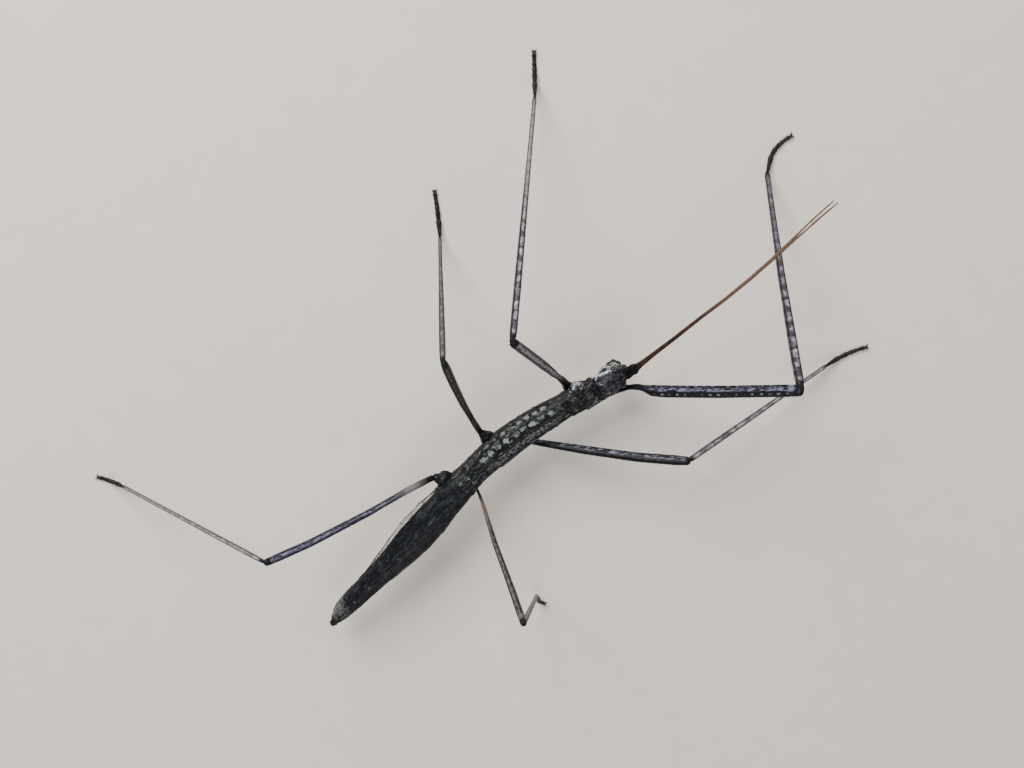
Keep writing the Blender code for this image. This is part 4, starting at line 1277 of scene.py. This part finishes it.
SHANK_FACE = unit(np.array((0.57, 0.81, -0.10)))
SHANK_FINISHES = {
    "fore_left": dict(dark=(0.012, 0.011, 0.016), pale=(0.370, 0.340, 0.375), far=(0.160, 0.148, 0.168),
                      banding=0.88, pitch=4.1, plainer=0.75, shade=0.90),
    "fore_right": dict(dark=(0.006, 0.006, 0.010), pale=(0.290, 0.270, 0.310), far=(0.062, 0.062, 0.072),
                       banding=0.95, pitch=4.0, plainer=0.75, shade=0.25),
    "middle_left": dict(dark=(0.030, 0.023, 0.025), pale=(0.180, 0.145, 0.142), far=(0.090, 0.070, 0.068),
                        banding=0.45, pitch=4.0, plainer=0.30, shade=0.30),
    "middle_right": dict(dark=(0.036, 0.034, 0.042), pale=(0.280, 0.265, 0.290), far=(0.150, 0.140, 0.150),
                         banding=0.60, pitch=4.4, plainer=0.30, shade=0.0),
    "hind_left": dict(dark=(0.055, 0.046, 0.041), pale=(0.280, 0.250, 0.230), far=(0.150, 0.130, 0.115),
                      banding=0.25, pitch=4.4, plainer=0.40, shade=0.0),
    "hind_right": dict(dark=(0.055, 0.046, 0.042), pale=(0.240, 0.215, 0.195), far=(0.140, 0.120, 0.105),
                       banding=0.30, pitch=4.2, plainer=0.40, shade=0.0),
}
# How much stouter a shank is at the knee than half way along, and thinner at the ankle.
SHANK_TAPER = {"fore_left": 0.17, "fore_right": 0.17, "middle_left": 0.08}


def shank_outline(size, taper):
    def outline(share, turn, mark):
        crest = crests(turn, 0.19)
        neck = -0.20 * ridge(share, 0.012, 0.010)
        ankle = 0.16 * ridge(share, 0.975, 0.012) - 0.03 * ridge(share, 0.94, 0.02)
        tooth = 0.03 * teeth(mark, SHANK_TEETH)
        shape = 0.965 + crest * (0.085 + tooth) - 0.02 * (1 - crest) + neck + ankle
        return shape * size * (1 + taper * (1 - 2 * share)), near_keel(turn)
    return outline


shank_girths = {leg: Girth(solid_of(f"tibia_{leg}"), shank_ways[leg], FACE_UP, SHANK_REACH, 2, 0.8)
                for leg in LEGS}
for leg in LEGS:
    way = shank_ways[leg]
    marks, opened = run(-SHANK_TUCK, way.length + RUN_ON, SHANK_STEP, 0.5, 0.6)
    outline = shank_outline(SHANK_SIZE[leg], SHANK_TAPER.get(leg, 0.0))
    shank = tube(f"shank_{leg}", way, shank_girths[leg], FACE_UP, marks, opened, SHANK_AROUND, outline,
                 shaded=SHANK_FACE)
    mount(shank, shank_finish(f"shank_shell_{leg}", **SHANK_FINISHES[leg]), "shank", f"tibia_{leg}")


# ---------------------------------------------------------------- legs: feet
# Each foot has five joints in a row, the first the longest, each with a paler pad beneath its far end. The
# last carries two hooked claws with a round sticky pad between them, and all of it lies on the floor.

FOOT_SHARES = (0.38, 0.20, 0.13, 0.09, 0.20)
CLAW_REACH = 1.75
FOOT_STEP = 0.10

foot_shell, lay, form = shell("foot_shell", 0.04)
base = grain(lay, 1.2, (0.005, 0.0045, 0.005), (0.015, 0.013, 0.013), (0.060, 0.054, 0.054), (1.4, 0.5),
             (3.0, 0.6), 6.0)
under = between(form["X"], 200.0, 235.0, 305.0, 340.0)
colour = tint(under * 0.6, base["Color"], (0.12, 0.09, 0.07))
colour = tint(form["Z"] * 0.5, colour, (0.030, 0.026, 0.026))
dress(foot_shell, colour, base["Roughness"], base["Height"], 0.04)

claw_shell, lay, form = shell("claw_shell", 0.25)
base = grain(lay, 1.0, (0.014, 0.008, 0.006), (0.045, 0.024, 0.014), (0.070, 0.040, 0.024), (2.0, 0.5),
             (5.0, 0.62), 8.0)
colour = tint(ease(form["Y"], 0.55, 0.9), base["Color"], (0.012, 0.008, 0.006))
dress(claw_shell, colour, base["Roughness"] * 0.6, base["Height"], 0.02)
foot_ends = np.concatenate(((0.0,), np.cumsum(FOOT_SHARES)))


def foot_outline(share, turn, mark):
    """Five joints, each a neck that swells to a lobe, fuller underneath where its pad is."""
    index = np.clip(np.searchsorted(foot_ends, share, side="right"), 1, len(FOOT_SHARES))
    inside = np.clip((share - foot_ends[index - 1]) / (foot_ends[index] - foot_ends[index - 1]), 0, 1)
    lobe = np.clip(inside, 0, 1) ** 1.5 * (1 - 0.5 * ridge(inside, 1.0, 0.08))
    pinch = ridge(inside, 0.0, 0.10) + ridge(inside, 1.0, 0.035)
    below = np.clip(-np.sin(turn), 0, 1)
    return 0.86 + 0.30 * lobe - 0.10 * pinch + 0.16 * lobe * below, np.clip(pinch, 0, 1)


def on_floor(places):
    """Flattens whatever would go below the floor."""
    places[..., 2] = np.maximum(places[..., 2], 0.0)
    return places


FOOT_GIRTH = ((0.0, 0.60, 0.52), (0.3, 0.74, 0.62), (0.6, 0.70, 0.58), (1.0, 0.60, 0.50))
CLAW_ROWS = ((0.0, 0.26, 0.26), (0.4, 0.22, 0.23), (0.8, 0.14, 0.15), (1.0, 0.06, 0.07))
PAD_ROWS = ((0.0, 0.24, 0.20), (0.5, 0.42, 0.28), (1.0, 0.34, 0.22))
# The lines that a claw and the pad follow from the last joint: ahead, out to the side and up.
CLAW_BEND = ((0.0, 0.0, 0.0), (0.8, 0.40, 0.32), (1.4, 0.62, 0.08), (1.6, 0.58, -0.28))
PAD_BEND = ((0.1, 0.0, 0.0), (0.8, 0.0, -0.02), (1.35, 0.0, -0.12))


def bent(place, ahead, aside, rows):
    """The places that rows of steps ahead, aside and up lead to."""
    return [place + ahead * far + aside * wide + SKY * high for far, wide, high in rows]


for leg in LEGS:
    way = foot_ways[leg]
    toe = way.length - CLAW_REACH
    marks, opened = run(-0.8, toe, FOOT_STEP, 0.3, 0.3)
    foot = tube(f"foot_{leg}", way, Even(FOOT_GIRTH, toe), SKY, marks, opened, 28, foot_outline, on_floor)
    mount(foot, foot_shell, "foot", f"tarsus_{leg}")
    root = way.at(np.array((toe - 0.4,)))[0]
    ahead = unit(way.along(np.array((toe,)))[0] * (1, 1, 0))
    sideways = np.cross(ahead, SKY)
    for side, sign in SIDES.items():
        claw = rod(f"claw_{leg}_{side}", bent(root, ahead, -sign * sideways, CLAW_BEND), CLAW_ROWS, SKY, 14,
                   0.08, plain, 8, (0.15, 0.10), on_floor)
        mount(claw, claw_shell, "foot")
    sole = rod(f"sole_{leg}", bent(root, ahead, sideways, PAD_BEND), PAD_ROWS, SKY, 20, 0.08, plain, 6,
               (0.15, 0.25), on_floor)
    mount(sole, foot_shell, "foot")


# ---------------------------------------------------------------- leg bristles
# Short stiff bristles that lean towards the foot, thinly set round the shanks and thighs and closer on the
# feet, dark brown and glossy like horsehair.

GOLDEN_ANGLE = 2.399963
BRISTLE_ROOT = 0.93
# How many bristles a piece carries, and their length and half thickness.
BRISTLES = {"thigh": (70, 0.34, 0.045), "shank": (120, 0.42, 0.045), "foot": (46, 0.34, 0.035)}


def bristles(name, way, girth, up_hint, start, end, count, length, thick):
    """One mesh of many four-sided bristles, set round the piece by the golden angle."""
    number = np.arange(count)
    marks = start + (end - start) * (number + 0.5) / count
    turn = number * GOLDEN_ANGLE
    middle, side, up = way.frames(marks, up_hint)
    half_width, above, _ = girth.at(marks)
    out_way = side * np.cos(turn)[:, None] + up * np.sin(turn)[:, None]
    root = middle + side * (np.cos(turn) * half_width)[:, None] * BRISTLE_ROOT
    root = root + up * (np.sin(turn) * above)[:, None] * BRISTLE_ROOT
    lean = unit(out_way + way.along(marks) * 1.1)
    reach = length * (0.75 + 0.5 * ((number * 0.618) % 1))
    tip = root + lean * reach[:, None]
    tip[:, 2] = np.maximum(tip[:, 2], 0.02)
    first_side = unit(np.cross(lean, SKY + (0.02, 0.01, 0.0)))
    second_side = np.cross(first_side, lean)
    corners = [root + first_side * thick, root + second_side * thick, root - first_side * thick,
               root - second_side * thick, tip]
    points = np.stack(corners, axis=1).reshape(-1, 3)
    points[:, 2] = np.maximum(points[:, 2], 0.01)
    faces = []
    for index in range(count):
        base = index * 5
        faces += [(base + i, base + (i + 1) % 4, base + 4) for i in range(4)]
        faces.append((base + 3, base + 2, base + 1, base))
    mesh = bpy.data.meshes.new(name)
    mesh.from_pydata((points * MM).tolist(), [], faces)
    mesh.shade_smooth()
    return stand(name, mesh)


bristle_finish, surface = bare_finish("bristle_horn")
vein = clouds(node(bristle_finish.node_tree, "TexCoord")["Object"], 600.0, 2.0)
feed(surface["Base Color"], tint(vein, (0.020, 0.013, 0.010), (0.090, 0.060, 0.042)))
feed(surface["Roughness"], vein * 0.3 + 0.25)
for leg in LEGS:
    toe = foot_ways[leg].length - CLAW_REACH
    runs = (("thigh", thigh_ways[leg], thigh_girths[leg], thigh_ups[leg], 6.0, thigh_ways[leg].length - 1.5),
            ("shank", shank_ways[leg], shank_girths[leg], FACE_UP, 2.0, shank_ways[leg].length),
            ("foot", foot_ways[leg], Even(FOOT_GIRTH, toe), SKY, 0.3, toe))
    for part, way, girth, up_hint, start, end in runs:
        hairs = bristles(f"bristles_{part}_{leg}", way, girth, up_hint, start, end, *BRISTLES[part])
        mount(hairs, bristle_finish, part)


# ---------------------------------------------------------------- tail end
# The body ends in a small soft cone. Under the last segments lies a boat-shaped plate that covers the egg
# passage, keeled and pointed behind, and a short blunt feeler stands on each side of the last segment.

COVER_REACH = ((0.0, 66.0), (BODY_LENGTH, 66.0))
COVER_LIFT = 0.72
STUB_ROWS = ((0.0, 0.28, 0.28), (0.4, 0.37, 0.37), (0.8, 0.30, 0.30), (1.0, 0.16, 0.16))

tip_marks, tip_open = run(BODY_LENGTH - 2.4, BODY_LENGTH + 0.25, 0.12, 0.3, 0.9)
tip_turn = round_turn(40)
tip_places, tip_lay = over_body(tip_marks, tip_turn, -0.16 + 0.04 * np.cos(6 * tip_turn))
tip_middle = trunk_way.at(tip_marks)[:, None] + SKY * 0.10
tip_places = tip_middle + (tip_places - tip_middle) * tip_open[:, None, None]
tail_tip = loft("tail_tip", tip_places, tip_lay, stack(off_top(tip_turn), 0.0, 0.0))
mount(tail_tip, abdomen_shell, "trunk_shell")


def cover_relief(share, sideways, laid):
    keel = 0.26 * ridge(sideways, 0, 0.10) * (0.4 + 0.6 * share)
    rim = 0.10 * ridge(np.abs(sideways), 1.0, 0.06)
    hang = COVER_LIFT * np.clip(0.25 + share / 0.4, 0, 1) * (1 - 0.80 * np.abs(sideways) ** 2.5)
    return hang + keel + rim + 0.05 * wobble(laid, 1.0, 14)


cover_corners = solid_of("operculum")[0]
gaps = np.linalg.norm(cover_corners[:, None] - trunk_way.points[None], axis=2)
cover_marks = trunk_way.marks[gaps.argmin(axis=1)]
cover = plate("egg_cover", cover_marks.min(), cover_marks.max(), 180.0, COVER_REACH, cover_relief, 0.06, 0.62)
mount(cover, belly_shell, "trunk_shell", "operculum")

stub_marks = np.array((BODY_LENGTH - 1.6, BODY_LENGTH - 0.9, BODY_LENGTH - 0.1))
stub_rise = np.array(((-0.3,), (0.15,), (0.30,)))
for side, sign in SIDES.items():
    stub_places = over_body(stub_marks, np.full((3, 1), sign * math.radians(82)), stub_rise)[0]
    stub = rod(f"tail_feeler_{side}", stub_places[:, 0], STUB_ROWS, SKY, 18, 0.08, plain, 4, (0.15, 0.25))
    mount(stub, abdomen_shell, "trunk_shell", f"cercus_{side}")


# ---------------------------------------------------------------- floor, light and camera
# A plain pale studio floor, a broad soft light from the insect's left, a fainter one from the right and an
# even sky. The camera looks down from high on the insect's left.

FLOOR_SIZE = 6.0
CAMERA_PLACE = Vector((157.0, -64.7, 456.2)) * MM
CAMERA_LOOK = Vector((-0.3330, 0.1249, -0.9346)).normalized()
CAMERA_SIDE = Vector((-0.5748, -0.8127, 0.0962))
CAMERA_LENS = 56.25

floor_mesh = bmesh.new()
bmesh.ops.create_grid(floor_mesh, x_segments=1, y_segments=1, size=FLOOR_SIZE / 2)
floor_data = bpy.data.meshes.new("studio_floor")
floor_mesh.to_mesh(floor_data)
floor_mesh.free()
floor = stand("studio_floor", floor_data)
floor_finish, surface = bare_finish("pale_board")
fibre = clouds(node(floor_finish.node_tree, "TexCoord")["Object"], 120.0, 4.0)
feed(surface["Base Color"], tint(fibre, (0.63, 0.585, 0.525), (0.67, 0.625, 0.565)))
surface["Roughness"].default_value = 0.85
floor_data.materials.append(floor_finish)


def soft_light(name, place, size, power, colour):
    """A square studio light that faces the insect."""
    lamp = bpy.data.lights.new(name, "AREA")
    lamp.size = size
    lamp.energy = power
    lamp.color = colour
    holder = stand(name, lamp)
    holder.location = place
    holder.rotation_euler = (-Vector(place)).to_track_quat("-Z", "Y").to_euler()


soft_light("key_light", (0.85, -0.12, 0.62), 0.55, 22.0, (1.0, 0.98, 0.95))
soft_light("fill_light", (-0.55, 0.35, 0.80), 0.70, 4.0, (1.0, 0.98, 0.95))

world = bpy.data.worlds.new("studio_sky")
bpy.context.scene.world = world
world.use_nodes = True
world.node_tree.nodes["Background"].inputs["Color"].default_value = (0.95, 0.96, 1.0, 1.0)
world.node_tree.nodes["Background"].inputs["Strength"].default_value = 0.50

lens = bpy.data.cameras.new("camera")
lens.lens = CAMERA_LENS
lens.sensor_width = 36.0
lens.clip_start = 0.01
lens.clip_end = 20.0
camera = stand("camera", lens)
camera_side = (CAMERA_SIDE - CAMERA_LOOK * CAMERA_SIDE.dot(CAMERA_LOOK)).normalized()
camera_up = camera_side.cross(CAMERA_LOOK)
camera_turn = Matrix((camera_side, camera_up, -CAMERA_LOOK)).transposed().to_4x4()
camera.matrix_world = Matrix.Translation(CAMERA_PLACE) @ camera_turn
bpy.context.scene.camera = camera


bpy.context.view_layer.update()
